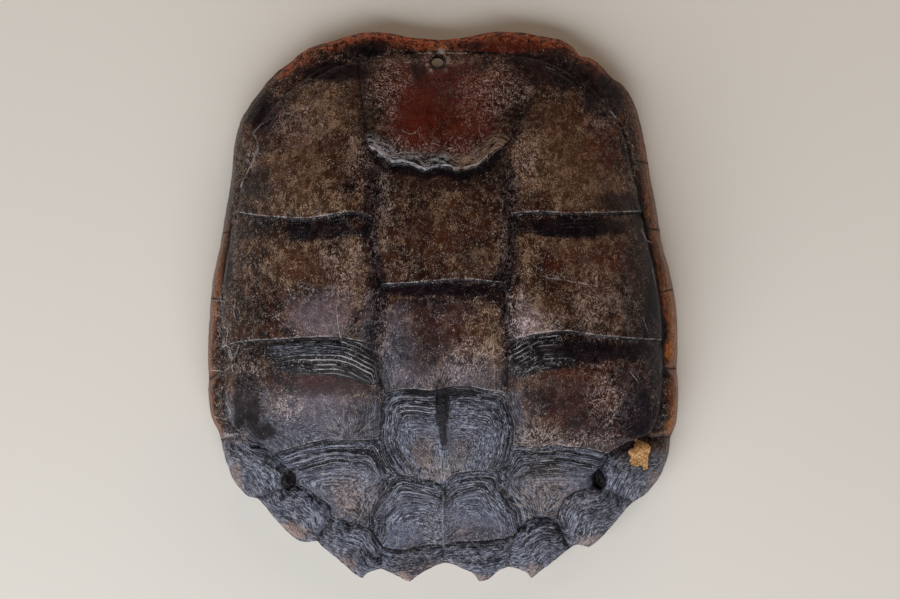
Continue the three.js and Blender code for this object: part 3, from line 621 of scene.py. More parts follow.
def marginal_scute(start, stop, p):
    """The same for one scute of the margin, without the lines and the fan that it lacks."""
    x, y = p[:, 0], p[:, 1]
    inner, _ = stretch("i" + start, "i" + stop)
    outer, _ = stretch("o" + start, "o" + stop)
    to_inner, to_outer = distance(p, inner), distance(p, outer)
    to_end = np.min([distance(p, stretch("i" + end, "o" + end)[0]) for end in (start, stop)], axis=0)
    rear = smooth(60, -60, y)
    drop = seam_drop(to_inner, "inner") * (0.6 + 0.4 * rear)
    drop = np.maximum(drop, seam_drop(to_end, "marginal") * (0.35 + 0.65 * rear))
    plateau = (0.4 + 1.0 * rear) * smooth(0, 7, to_end) * smooth(0, 5, to_inner) * smooth(0, 5, to_outer)
    ring = to_inner + 0.9 * uneven(p, 9, 61, 2)
    turns = ring / MARGINAL_RIDGE["spacing"]
    groove = bell((turns - np.round(turns)) * MARGINAL_RIDGE["spacing"], MARGINAL_RIDGE["groove"])
    strength = MARGINAL_RIDGE["height"] * rear * (0.6 + 0.7 * noise(x / 7, y / 7, 62))
    angle = np.arctan2(y, x)
    fine = strength * (0.5 * np.cos(2 * math.pi * turns) - groove)
    bend = 3.0 * noise(x / 8, y / 8, 64)
    creases = noise((ring + 0.5 * bend) / 1.5, angle * AROUND_MARGIN / 11, 63)
    creases = creases + 0.5 * noise(x / 2.2, y / 2.2, 65)
    fine += 0.28 * rear * creases * smooth(0, 3, to_outer)
    seam = np.minimum(to_inner, to_end)
    return {
        "height": plateau - drop, "fine": fine * smooth(0.2, 1.6, seam), "ring": ring, "seam": seam,
        "front": FAR, "rear": FAR, "side": FAR,
        "around_x": AROUND_MARGIN * np.cos(angle), "around_y": AROUND_MARGIN * np.sin(angle),
        "ridged": strength, "turns": turns, "grey": smooth(430, 460, row_of(p) - 12 * np.sign(x)),
    }


PULLED = 0.9985  # draws points on the margin in, so that each is inside a scute
LARGE_SCUTES = 13  # the vertebrals and costals, numbered before the marginals
FIELDS = ("height", "fine", "ring", "seam", "front", "rear", "side", "around_x", "around_y", "ridged",
          "turns", "grey", "fan", "fan_turn", "fan_reach")


def scutes(p):
    """Relief of the whole upper surface, scute by scute."""
    jobs = [(spec["corners"].split(), large_scute, (name, spec)) for name, spec in scute_table().items()]
    pairs = [("0L", "0R")]
    for side in "LR":
        names = [f"{k}{side}" for k in range(MARGINALS)] + ["12"]
        pairs += list(zip(names[:-1], names[1:]))
    for start, stop in pairs:
        corners = ["i" + start, "i" + stop, "o" + stop, "o" + start]
        jobs.append((corners, marginal_scute, (start, stop)))
    field = {key: np.zeros(len(p)) for key in FIELDS}
    field["which"] = np.full(len(p), -1)
    pulled = p * PULLED
    for number, (corners, relief_of, scute) in enumerate(jobs):
        loop = np.concatenate([stretch(a, b)[0][:-1] for a, b in zip(corners, corners[1:] + corners[:1])])
        here = inside(pulled, loop) & (field["which"] < 0)
        if here.any():
            for key, values in relief_of(*scute, p[here]).items():
                field[key][here] = values
        field["which"][here] = number
    return field


# ---- the mesh ---------------------------------------------------------------------------------
def grid_lines(half):
    cells = int(math.ceil(2 * half / SPACING / UNDER_STEP)) * UNDER_STEP
    return np.linspace(-half, half, cells + 1)


def fit_to_margin(x, y):
    """Moves a rectangular grid so that its border lies on the margin."""
    out = np.maximum(np.abs(x) / GRID_HALF[0], np.abs(y) / GRID_HALF[1])
    angle = np.arctan2(y, x)
    weight = out**3
    r = np.hypot(x, y) * (1 - weight) + out * margin_radius(angle) * weight
    return r * np.cos(angle), r * np.sin(angle)


def inset_of(x, y):
    """How far a place on the sheet is inside the margin."""
    return margin_radius(np.arctan2(y, x)) - np.hypot(x, y)


def border_of(nx, ny):
    """Indices of a grid's border vertices, once round counter-clockwise."""
    index = np.arange(nx * ny).reshape(nx, ny)
    return np.concatenate([index[:-1, 0], index[-1, :-1], index[:0:-1, -1], index[0, :0:-1]])


def grid_faces(nx, ny, start, upward):
    index = np.arange(nx * ny).reshape(nx, ny) + start
    a, b, c, d = index[:-1, :-1], index[1:, :-1], index[1:, 1:], index[:-1, 1:]
    order = (a, b, c, d) if upward else (d, c, b, a)
    return np.stack([v.ravel() for v in order], axis=1)


RIBS = {"count": 8, "height": 1.5, "width": 5.0}
SPINE = {"width": 7.5, "height": 7.0, "front": 112, "rear": -124}
UNDER_GRAIN = {"height": 0.18, "size": 5.0}
LEAST_HEIGHT = 0.02
RELAXING = {"rounds": 4, "step": 0.6}


COARSE = 0.08  # height of the grain that covers all of the upper surface
LIFT_FADE = 3.0  # width of the strip along the margin where the relief sets in
EDGE_ROUNDING = {"drop": 1.6, "width": 1.8}
BULGE, RIPPLE = 0.8, 0.25  # of the margin's outer face
RELAXED_WITHIN = (16, 30)  # distances from the margin between which the underside is no longer evened out
BOX_ROOM = (1.6, 0.05)  # inside the CAD box: where points start to be held back, and how far they may go


def underside(x, y, lift):
    """The inner surface for places on the sheet. lift is the lowest relief of the upper surface nearby."""
    angle = np.arctan2(y, x)
    r = np.hypot(x, y)
    edge = margin_radius(angle)
    # the fused vertebrae along the middle, with a waist between each two, and a rib from each
    spine_length = SPINE["front"] - SPINE["rear"]
    row = (y - SPINE["rear"]) / spine_length
    along = smooth(0, 0.06, row) * (1 - smooth(0.94, 1, row))
    beat = 0.5 + 0.5 * np.cos(2 * math.pi * row * RIBS["count"])
    width = SPINE["width"] * (0.82 + 0.25 * beat)
    bone = SPINE["height"] * along * np.clip(1 - (x / width) ** 2, 0, 1) ** 0.5
    fan = y - 0.16 * np.sign(y) * np.abs(x) * smooth(20, 120, np.abs(y))
    rib_row = (fan - SPINE["rear"]) / spine_length
    to_rib = np.abs((rib_row * RIBS["count"] + 0.5) % 1 - 0.5) / RIBS["count"] * spine_length
    reach = smooth(0, 6, np.abs(x)) * (1 - smooth(0.80, 0.92, r / edge)) * along
    bone += RIBS["height"] * reach * bell(to_rib, RIBS["width"])
    thick = np.maximum(WALL, LEAST_WALL - lift)
    vault = dome(x, y) - dome_normal(x, y) * thick[:, None]
    vault[:, 2] -= bone
    # near the margin the inner surface turns into the flat underside of the rim
    inset = edge - r
    sides = side_share(angle)
    bottom = by_direction(EDGE_UNDERSIDE, angle) * (1 - sides)
    at_side = smooth(FLANGE - EDGE_INSET, VAULT_START + EDGE_INSET, inset)
    turned = at_side * sides + smooth(0, FLANGE, inset) * (1 - sides)
    keep = (r - EDGE_INSET * smooth(8, 0, inset)) / np.maximum(r, 1e-6)
    rim = in_space(x * keep, y * keep, bottom)
    place = rim + (vault - rim) * turned[:, None]
    grain = UNDER_GRAIN["height"] * layers(x / UNDER_GRAIN["size"], y / UNDER_GRAIN["size"], 71, 3)
    place[:, 2] += grain * smooth(FLANGE, VAULT_START + 6, inset)
    place[:, 2] = np.maximum(place[:, 2], LEAST_HEIGHT)
    return place


def lowest_nearby(grid, reach):
    """The lowest value within some cells of each cell of a grid."""
    low = grid.copy()
    for axis in (0, 1):
        source = low.copy()
        for shift in range(-reach, reach + 1):
            np.minimum(low, np.roll(source, shift, axis), out=low)
    return low


def relaxed(grid, share):
    """Evens out a grid of points, apart from its border, by the given share at each point."""
    share = share.reshape(grid.shape[:2])[1:-1, 1:-1, None]
    for _ in range(RELAXING["rounds"]):
        mean = (grid[:-2, 1:-1] + grid[2:, 1:-1] + grid[1:-1, :-2] + grid[1:-1, 2:]) / 4
        grid = grid.copy()
        grid[1:-1, 1:-1] += RELAXING["step"] * share * (mean - grid[1:-1, 1:-1])
    return grid


def upper_points(p, field):
    """The dome with its relief at places on the sheet, and the height of that relief."""
    x, y = p[:, 0], p[:, 1]
    to_edge = field["to_edge"]
    coarse = COARSE * layers(x / 2.6, y / 4.2, 81, 3)
    from_hole = field["at_hole"] - HOLE["radius"]
    worn = HOLE["worn"] * (1 - smooth(0, HOLE["worn_width"], from_hole))
    lift = broad_forms(p) + field["height"] + field["fine"] + coarse - worn
    lift = lift * smooth(0, LIFT_FADE, to_edge)
    top = dome(x, y) + dome_normal(x, y) * lift[:, None]
    top[:, 2] -= EDGE_ROUNDING["drop"] * bell(to_edge, EDGE_ROUNDING["width"])
    return top, lift


def margin_rows(top_edge, low_edge):
    """Rows of points that round the margin between its upper and its lower edge."""
    places = np.arange(0, len(top_edge) + 1, UNDER_STEP)
    closed = np.append(low_edge, low_edge[:1], axis=0)
    every = np.arange(len(top_edge))
    low_all = np.stack([np.interp(every, places, closed[:, k]) for k in range(3)], axis=1)
    rows = []
    for t in RIM_ROWS:
        row = top_edge * (1 - t) + low_all * t
        reach = np.linalg.norm(row[:, :2], axis=1)
        room = np.linalg.norm(top_edge[:, :2], axis=1) - reach
        ripple = RIPPLE * noise(row[:, 0] / 3, row[:, 1] / 3, 91 + int(10 * t))
        out = np.minimum(BULGE * math.sin(math.pi * t) + ripple, room)
        row[:, :2] += row[:, :2] / reach[:, None] * out[:, None]
        rows.append(row)
    return rows


def lowest_row_faces(last, low_rim):
    """Triangles between the last row and the edge of the coarser grid below it."""
    following = np.roll(last, -1).reshape(-1, UNDER_STEP)
    last = last.reshape(-1, UNDER_STEP)
    next_low = np.roll(low_rim, -1)
    half = UNDER_STEP // 2
    triangles = []
    for k in range(UNDER_STEP):
        triangles.append(np.stack([last[:, k], low_rim if k < half else next_low, following[:, k]], axis=1))
    triangles.append(np.stack([last[:, half], low_rim, next_low], axis=1))
    return np.concatenate(triangles)


def build_mesh():
    """Points and faces: the upper grid first, then the underside, then the rows between them."""
    gx, gy = np.meshgrid(*(grid_lines(half) for half in GRID_HALF), indexing="ij")
    p = np.stack([v.ravel() for v in fit_to_margin(gx, gy)], axis=1)
    field = scutes(p)
    field["to_edge"] = inset_of(p[:, 0], p[:, 1])
    field["at_hole"] = np.hypot(*(p - np.array(on_sheet(*HOLE["at"]))).T)
    top, lift = upper_points(p, field)
    # the underside is on every fourth line of the same grid
    ux, uy = gx[::UNDER_STEP, ::UNDER_STEP], gy[::UNDER_STEP, ::UNDER_STEP]
    mx, my = fit_to_margin(ux, uy)
    nearby = lowest_nearby(lift.reshape(gx.shape), UNDER_STEP + 1)[::UNDER_STEP, ::UNDER_STEP]
    low = underside(mx.ravel(), my.ravel(), nearby.ravel())
    low = relaxed(low.reshape(*ux.shape, 3), 1 - smooth(*RELAXED_WITHIN, inset_of(mx, my))).reshape(-1, 3)
    faces = [grid_faces(*gx.shape, 0, True), grid_faces(*ux.shape, len(top), False)]
    rim, low_rim = border_of(*gx.shape), border_of(*ux.shape) + len(top)
    between = margin_rows(top[rim], low[low_rim - len(top)])
    start = len(top) + len(low)
    rows = [rim] + [np.arange(len(rim)) + start + k * len(rim) for k in range(len(between))]
    for above, below in zip(rows[:-1], rows[1:]):
        faces.append(np.stack([above, below, np.roll(below, -1), np.roll(above, -1)], axis=1))
    points = np.concatenate([top, low, *between])
    for axis, most in enumerate((box_high.x, box_high.y, box_high.z)):
        points[:, axis] = soft_limit(points[:, axis], *(most * METRE - room for room in BOX_ROOM))
    return points, np.concatenate(faces), lowest_row_faces(rows[-1], low_rim), field, p, rim


def make_object(name, points, quads, triangles):
    mesh = bpy.data.meshes.new(name)
    loops = np.concatenate([quads.ravel(), triangles.ravel()])
    starts = np.concatenate([np.arange(len(quads)) * 4, len(quads) * 4 + np.arange(len(triangles)) * 3])
    mesh.vertices.add(len(points))
    mesh.vertices.foreach_set("co", (points / METRE).ravel())
    mesh.loops.add(len(loops))
    mesh.loops.foreach_set("vertex_index", loops.astype(np.int32))
    mesh.polygons.add(len(starts))
    mesh.polygons.foreach_set("loop_start", starts.astype(np.int32))
    mesh.update(calc_edges=True)
    mesh.validate()
    mesh.shade_smooth()
    thing = bpy.data.objects.new(name, mesh)
    bpy.context.scene.collection.objects.link(thing)
    return thing


def add_attribute(mesh, name, values):
    layer = mesh.attributes.new(name, "FLOAT", "POINT")
    layer.data.foreach_set("value", values.astype(np.float32))


def apply_modifiers(thing):
    evaluated = thing.evaluated_get(bpy.context.evaluated_depsgraph_get())
    mesh = bpy.data.meshes.new_from_object(evaluated)
    thing.modifiers.clear()
    thing.data = mesh


# ---- patches of colour ------------------------------------------------------------------------
# x, y, half width and half height in squares, and strength
RED = [
    (418, 110, 28, 38, 1.0), (466, 116, 36, 40, 0.8), (440, 76, 70, 24, 0.75), (445, 140, 40, 20, 0.5),
    (300, 165, 34, 34, 0.35), (590, 165, 34, 45, 0.55), (303, 264, 26, 16, 0.45), (590, 262, 46, 34, 0.4),
    (578, 398, 50, 34, 0.4), (440, 232, 36, 30, 0.25), (455, 330, 28, 26, 0.2), (330, 380, 40, 12, 0.6),
    (350, 42, 34, 9, 0.3), (515, 44, 70, 10, 0.85), (420, 42, 50, 9, 0.7), (565, 125, 36, 26, 0.35),
    (300, 64, 24, 12, 0.3), (600, 76, 20, 16, 0.3),
]
OLIVE = [
    (330, 112, 36, 34, 1.0), (300, 168, 48, 40, 0.85), (312, 204, 56, 14, 1.0), (262, 195, 16, 22, 0.5),
    (560, 150, 44, 46, 1.0), (585, 190, 56, 24, 1.0), (530, 160, 14, 40, 0.9), (385, 235, 14, 50, 0.4),
    (440, 215, 50, 46, 0.45), (478, 262, 26, 22, 0.9), (352, 262, 15, 46, 0.75), (290, 262, 50, 30, 0.55),
    (575, 238, 50, 14, 0.9), (528, 285, 14, 52, 0.4), (600, 290, 52, 40, 0.6), (484, 320, 24, 28, 0.6),
    (498, 350, 8, 42, 1.0), (420, 318, 40, 26, 0.2), (545, 310, 24, 22, 0.8), (590, 400, 50, 26, 0.3),
    (350, 380, 20, 22, 0.6), (440, 455, 34, 18, 0.6), (545, 480, 34, 26, 0.7), (345, 500, 26, 20, 0.7),
    (440, 48, 14, 6, 0.9),
]
# smooth dark horn, and painted shade in pits, grooves, hollows and the bands behind overhanging edges
SMOOTH_DARK_AND_SHADE = [
    (316, 229, 46, 10, 0.7), (578, 227, 52, 10, 0.85), (442, 402, 7, 22, 1.0), (440, 290, 62, 7, 0.9),
    (440, 183, 56, 8, 0.4), (247, 382, 13, 12, 0.9), (238, 408, 5, 26, 0.9), (252, 412, 7, 22, 0.9),
    (262, 432, 12, 8, 0.8), (565, 398, 40, 18, 0.5), (590, 420, 34, 16, 0.6), (420, 345, 30, 26, 0.4),
    (636, 412, 18, 24, 1.0), (622, 202, 26, 9, 0.7), (636, 290, 18, 50, 0.5), (262, 110, 14, 26, 0.8),
    (330, 72, 40, 9, 0.85), (560, 74, 42, 13, 0.7), (590, 352, 58, 10, 0.9), (624, 384, 16, 18, 0.6),
    (645, 200, 8, 56, 0.7), (602, 98, 20, 22, 0.85), (352, 102, 12, 34, 0.2), (365, 50, 18, 5, 0.9),
    (470, 45, 12, 5, 0.7), (560, 52, 14, 5, 0.6), (442, 394, 44, 3.5, 0.75), (443, 427, 3.5, 22, 0.8),
    (258, 186, 14, 18, 0.5), (288, 484, 6, 9, 1.0), (600, 482, 6, 9, 1.0), (418, 222, 14, 26, 0.35),
    (470, 250, 18, 20, 0.35), (225, 250, 8, 44, 0.95), (656, 300, 12, 110, 1.0), (228, 200, 5, 30, 0.7),
    (440, 306, 40, 10, 0.4), (371, 92, 8, 34, 0.45), (514, 96, 6, 36, 0.5), (366, 48, 20, 10, 0.8),
    (330, 384, 52, 12, 0.5), (418, 66, 8, 14, 0.7), (500, 110, 10, 22, 0.2), (540, 60, 40, 8, 0.7),
]
# mauve and blue-grey patches of painted sheen on slopes that face the tail
GREY_SHEEN = [
    (318, 314, 34, 22, 0.8), (322, 412, 40, 24, 1.0), (440, 378, 50, 12, 0.6), (398, 352, 20, 44, 1.0),
    (440, 308, 44, 18, 0.15), (380, 162, 14, 12, 0.8), (525, 322, 14, 24, 0.7),
]
SCRATCHES_AND_HIGHLIGHTS = [  # pale marks, most of them worn lines in the horn and some of them painted highlights: half width in millimetres, strength, points
    (0.3, 1.0, [(404, 62), (409, 62)]), (0.28, 0.6, [(418, 51.5), (440, 51), (466, 52)]),
    (0.3, 0.5, [(546, 278), (560, 279.5)]), (0.3, 1.0, [(562, 280), (570, 281)]),
    (0.3, 0.9, [(574, 282), (592, 285.5)]), (0.24, 0.35, [(546, 66), (556, 70)]),
    (0.3, 1.0, [(514, 447.5), (522, 447)]), (0.28, 0.8, [(643, 232), (646, 238), (650, 241)]),
    # the marks along the ridge at the front left, from (269, 121) to (241, 187), are painted highlights on
    # that ridge
    (0.28, 0.7, [(611, 112), (616, 119)]), (0.26, 0.5, [(269, 121), (261, 126), (254, 133)]),
    (0.9, 0.35, [(258, 150), (255, 158), (252, 165)]), (0.3, 0.3, [(254, 134), (258, 142), (258, 152)]),
    (0.3, 0.4, [(251, 167), (246, 178), (241, 187)]), (0.22, 0.35, [(233, 214), (232, 228), (230, 240)]),
    (0.28, 0.5, [(226, 262), (224, 275), (221, 290)]), (0.22, 0.45, [(219, 296), (220, 312), (224, 328)]),
    (0.3, 0.5, [(212, 300), (221, 301)]), (0.3, 0.5, [(213, 314), (222, 318)]),
    (0.3, 0.5, [(236, 346), (234, 355), (231, 363)]), (0.3, 0.6, [(212, 370), (222, 372), (232, 366)]),
    (0.28, 0.4, [(443, 490), (442.5, 520), (443, 548)]), (0.3, 0.4, [(439, 440), (442, 476)]),
    (0.3, 0.4, [(446, 452), (444, 478)]), (0.3, 0.4, [(338, 305), (339, 322), (341, 337)]),
    (0.3, 0.5, [(224, 437), (234, 434), (243, 436)]), (0.26, 0.5, [(393, 90), (400, 88)]),
    (0.24, 0.5, [(404, 132), (409, 135), (414, 134)]), (0.24, 0.5, [(479, 130), (482, 138)]),
    (0.22, 0.4, [(418, 130), (420, 139)]), (0.3, 0.6, [(432, 144), (438, 146)]),
    (0.24, 0.35, [(600, 300), (606, 296), (612, 297)]), (0.26, 0.5, [(633, 300), (636, 305)]),
    (0.24, 0.4, [(643, 318), (647, 330)]), (0.26, 0.5, [(594, 396), (600, 392)]),
    (0.24, 0.4, [(608, 425), (616, 412)]), (0.3, 0.6, [(277, 318), (283, 323)]),
    (0.3, 0.6, [(288, 288), (291, 296)]), (0.26, 0.6, [(228, 330), (226, 345), (229, 356)]),
    (0.26, 0.5, [(223, 352), (230, 360), (233, 372)]), (0.26, 0.5, [(235, 300), (233, 312), (236, 322)]),
    (0.26, 0.6, [(216, 416), (224, 420), (230, 417)]), (0.26, 0.5, [(226, 404), (230, 412)]),
    (0.26, 0.5, [(652, 268), (656, 282)]), (0.26, 0.6, [(630, 372), (637, 380)]),
    (0.26, 0.5, [(300, 286), (312, 291)]),
]
SCRATCH_REACH = 2.6  # from a pale mark, beyond which the mesh says nothing about it
NO_SCRATCH = 9.0
CHIP_REACH = 4.0
CHIP = [(641, 442), (650, 445), (648, 452), (646, 460), (647, 467), (642, 470), (640, 463), (634, 465),
        (628, 461), (629, 456), (627.5, 452), (634, 449), (638, 445)]
DUSTY = [  # pale scuffs in the varnish
    (251, 156, 5, 14, 1.0), (374, 230, 9, 80, 0.6), (508, 230, 9, 80, 0.5), (378, 330, 8, 50, 0.7),
    (508, 340, 8, 50, 0.6), (392, 88, 24, 34, 1.0), (490, 90, 34, 36, 1.0), (440, 60, 50, 6, 0.7),
    (527, 150, 14, 36, 1.0), (515, 310, 14, 30, 1.0), (540, 322, 30, 12, 0.7), (612, 400, 24, 34, 0.7),
    (655, 360, 8, 60, 0.35), (248, 370, 16, 26, 0.6), (290, 408, 18, 14, 1.0), (222, 330, 8, 60, 0.5),
    (232, 250, 8, 60, 0.4), (385, 200, 10, 40, 0.6), (340, 262, 20, 40, 0.5), (600, 300, 40, 40, 0.4),
    (440, 470, 40, 14, 0.5), (560, 440, 50, 12, 0.7), (385, 330, 8, 40, 0.6), (238, 437, 14, 8, 1.0),
    (400, 150, 40, 14, 0.8), (470, 150, 30, 16, 0.8), (360, 165, 16, 30, 0.7), (500, 395, 20, 10, 0.6),
    (560, 500, 40, 24, 0.4), (350, 490, 40, 24, 0.4), (600, 120, 16, 24, 0.5), (300, 120, 40, 24, 0.5),
    (470, 360, 30, 24, 0.6),
]
SMOOTH_SHEEN = [  # where the blue-grey horn is worn smooth and its painted sheen is brighter
    (402, 537, 24, 14, 0.8), (478, 528, 34, 16, 0.9), (585, 482, 24, 14, 0.7), (335, 508, 20, 14, 0.6),
    (318, 412, 40, 24, 0.9), (425, 440, 14, 26, 0.4), (316, 316, 34, 22, 0.9), (395, 505, 12, 12, 0.5),
]
BLUE_GREY_AND_SHEEN = [  # blue-grey ahead of the rear third, grey horn and painted sheen
    (312, 350, 42, 7, 1.0), (394, 352, 14, 40, 0.45), (478, 412, 24, 18, 0.6), (372, 340, 10, 40, 0.6),
    (384, 372, 12, 20, 0.7), (374, 420, 8, 30, 0.7), (514, 420, 10, 30, 0.7), (250, 392, 18, 10, 0.5),
]
BROWNISH = [  # brown showing through the blue-grey
    (424, 452, 12, 20, 0.5), (464, 448, 14, 16, 0.45), (545, 474, 16, 28, 0.35), (345, 496, 14, 20, 0.4),
    (480, 536, 34, 14, 0.35), (415, 560, 26, 12, 0.35), (352, 556, 12, 8, 0.35),
]
TAN = [  # bare tan patches along the rear edge
    (236, 478, 7, 18, 0.9), (293, 530, 15, 9, 0.9), (348, 566, 10, 8, 0.5), (405, 577, 12, 6, 1.0),
    (478, 578, 9, 5, 0.8), (531, 573, 10, 8, 0.9), (590, 541, 12, 8, 0.7), (655, 482, 9, 14, 0.6),
    (443, 566, 20, 4, 0.4),
]


def patches(p, listed, ragged=0.5, border=(0.35, 1.45)):
    """Ovals, broken up at their borders."""
    x, y = p[:, 0], p[:, 1]
    break_up = ragged * (uneven(p, 16, 101, 4) + 0.5 * layers(x / 4.5, y / 6, 105, 3))
    total = np.zeros(len(p))
    for cx, cy, rx, ry, strength in listed:
        mx, my = on_sheet(cx, cy)
        r = np.hypot((x - mx) / (rx * SQUARE), (y - my) / (ry * SQUARE)) + break_up
        total = np.maximum(total, strength * (1 - smooth(*border, r)))
    return total


def scratches_and_highlights(p):
    """Signed distance to the nearest pale mark, in its widths, and the strength of that mark."""
    across = np.full(len(p), NO_SCRATCH)
    strongest = np.zeros(len(p))
    for width, strength, points in SCRATCHES_AND_HIGHLIGHTS:
        line = drawn(points)
        for start, stop in zip(line[:-1], line[1:]):
            near = (np.abs(p - (start + stop) / 2) < np.abs(stop - start) / 2 + SCRATCH_REACH).all(1)
            to_start = p[near] - start
            unit = (stop - start) / np.linalg.norm(stop - start)
            side = np.where(to_start[:, 0] * unit[1] - to_start[:, 1] * unit[0] < 0, -1.0, 1.0)
            d = distance(p[near], [start, stop])
            closer = d / width < np.abs(across[near])
            across[near] = np.where(closer, side * d / width, across[near])
            here = strength * (1 - smooth(0.6 * SCRATCH_REACH, SCRATCH_REACH, d))
            strongest[near] = np.where(closer, here, strongest[near])
    return across, strongest


def chip_depth(p):
    """From 0 well outside the chip to 1 well inside it, with 0.5 on its border."""
    loop = drawn(CHIP)
    d = distance(p, np.vstack([loop, loop[:1]]))
    return np.clip(0.5 + np.where(inside(p, loop), d, -d) / (2 * CHIP_REACH), 0, 1)


def side_edge(p, to_edge):
    """The orange-brown horn along the lower edge of both sides."""
    row = row_of(p)
    left = smooth(200, 260, row) * (1 - smooth(425, 445, row)) * (p[:, 0] < 0)
    right = smooth(90, 150, row) * (1 - smooth(425, 440, row)) * (p[:, 0] > 0)
    width = np.where(p[:, 0] < 0, 4.6, 6.6) + 2.4 * layers(p[:, 1] / 12, p[:, 0] / 12, 111, 3)
    band = 1 - smooth(width * 0.75, width * 1.25, to_edge)
    return band * (0.62 * left + right * (0.55 + 0.45 * smooth(250, 310, row)))


# ---- materials --------------------------------------------------------------------------------
class Value:
    """The output of a node, which adds, subtracts and multiplies as a number does."""

    def __init__(self, nodes, socket):
        self.nodes, self.socket = nodes, socket

    def __add__(self, other):
        return self.nodes.math("ADD", self, other)

    def __sub__(self, other):
        return self.nodes.math("SUBTRACT", self, other)

    def __rsub__(self, other):
        return self.nodes.math("SUBTRACT", other, self)

    def __mul__(self, other):
        return self.nodes.math("MULTIPLY", self, other)


class Nodes:
    """Short ways to write a node tree."""

    def __init__(self, material):
        self.tree = material.node_tree
        self.tree.nodes.clear()

    def add(self, kind, **settings):
        node = self.tree.nodes.new(kind)
        for key, value in settings.items():
            setattr(node, key, value)
        return node

    def put(self, socket, value):
        if isinstance(value, Value):
            value = value.socket
        if isinstance(value, bpy.types.NodeSocket):
            self.tree.links.new(value, socket)
        else:
            socket.default_value = value

    def put_all(self, node, values):
        for socket, value in zip(node.inputs, values):
            self.put(socket, value)
        return node

    def math(self, operation, *values):
        node = self.add("ShaderNodeMath", operation=operation)
        return Value(self, self.put_all(node, values).outputs[0])

    def larger(self, a, b):
        return self.math("MAXIMUM", a, b)

    def mix(self, share, a, b):
        node = self.add("ShaderNodeMix", data_type="RGBA", clamp_factor=True)
        self.put(node.inputs[0], share)
        self.put(node.inputs[6], a)
        self.put(node.inputs[7], b)
        return node.outputs[2]

    def ramp(self, value, low, high, out_low=0.0, out_high=1.0):
        """Goes smoothly from out_low to out_high while the value goes from low to high."""
        node = self.add("ShaderNodeMapRange", interpolation_type="SMOOTHSTEP")
        return Value(self, self.put_all(node, (value, low, high, out_low, out_high)).outputs[0])

    def attribute(self, name):
        return Value(self, self.add("ShaderNodeAttribute", attribute_name=name).outputs["Fac"])

    def combine(self, *values):
        return self.put_all(self.add("ShaderNodeCombineXYZ"), values).outputs[0]

    def vector(self, operation, *values):
        return self.put_all(self.add("ShaderNodeVectorMath", operation=operation), values).outputs[0]

    def noise_node(self, place, scale):
        node = self.add("ShaderNodeTexNoise")
        self.put(node.inputs["Vector"], place)
        node.inputs["Scale"].default_value = scale
        return node

    def noise(self, place, scale, detail, roughness):
        """Noise from 0 to 1. The scale is one number, or one for each axis."""
        if isinstance(scale, tuple):
            place, scale = self.vector("MULTIPLY", place, scale), 1.0
        node = self.noise_node(place, scale)
        node.inputs["Detail"].default_value = detail
        node.inputs["Roughness"].default_value = roughness
        return Value(self, node.outputs["Fac"])


def colour(red, green, blue):
    """An sRGB colour, 0 to 255, as Blender's linear values."""
    linear = [(v / 255 / 12.92) if v / 255 <= 0.04045 else ((v / 255 + 0.055) / 1.055) ** 2.4
              for v in (red, green, blue)]
    return (*linear, 1.0)


# black horn, also used for painted shade
BLACK_HORN_AND_SHADE = colour(12, 8, 10)
HORN_BROWN = colour(56, 28, 16)
HORN_DUN = colour(80, 54, 38)
HORN_RED = colour(92, 27, 14)
HORN_SMOOTH = colour(26, 18, 23)
OLIVE_FILM = colour(84, 60, 40)
OLIVE_TAN = colour(168, 137, 110)
# pale scuffs in the horn, also used for painted highlights and glints
SCUFF_AND_HIGHLIGHT = colour(208, 200, 198)
SLATE = colour(27, 26, 32)
# blue-grey horn and painted sheen, the reflection of the cool window light
GREY_HORN_AND_SHEEN = colour(125, 129, 149)
SILVER = colour(186, 187, 194)
DUST = colour(192, 168, 160)
FAN_TAN = colour(156, 137, 124)
# painted sheen
MAUVE_SHEEN = colour(132, 114, 120)
ORANGE = colour(172, 104, 50)
ORANGE_RED = colour(130, 72, 38)
ORANGE_DARK = colour(48, 26, 16)
EDGE_BROWN = colour(224, 116, 62)
EDGE_TAN = colour(190, 152, 130)
BONE = colour(228, 184, 128)
BONE_DARK = colour(158, 108, 62)
INNER_BONE = colour(206, 184, 146)
INNER_STAIN = colour(166, 134, 92)
INNER_DARK = colour(112, 82, 52)


DRIFT = 12.0  # how far strokes wander off the long axis, in millimetres
BUMP_DISTANCE = 0.0008
VARNISH = {"Specular IOR Level": 0.09, "Coat Weight": 0.02, "Coat Roughness": 0.18}


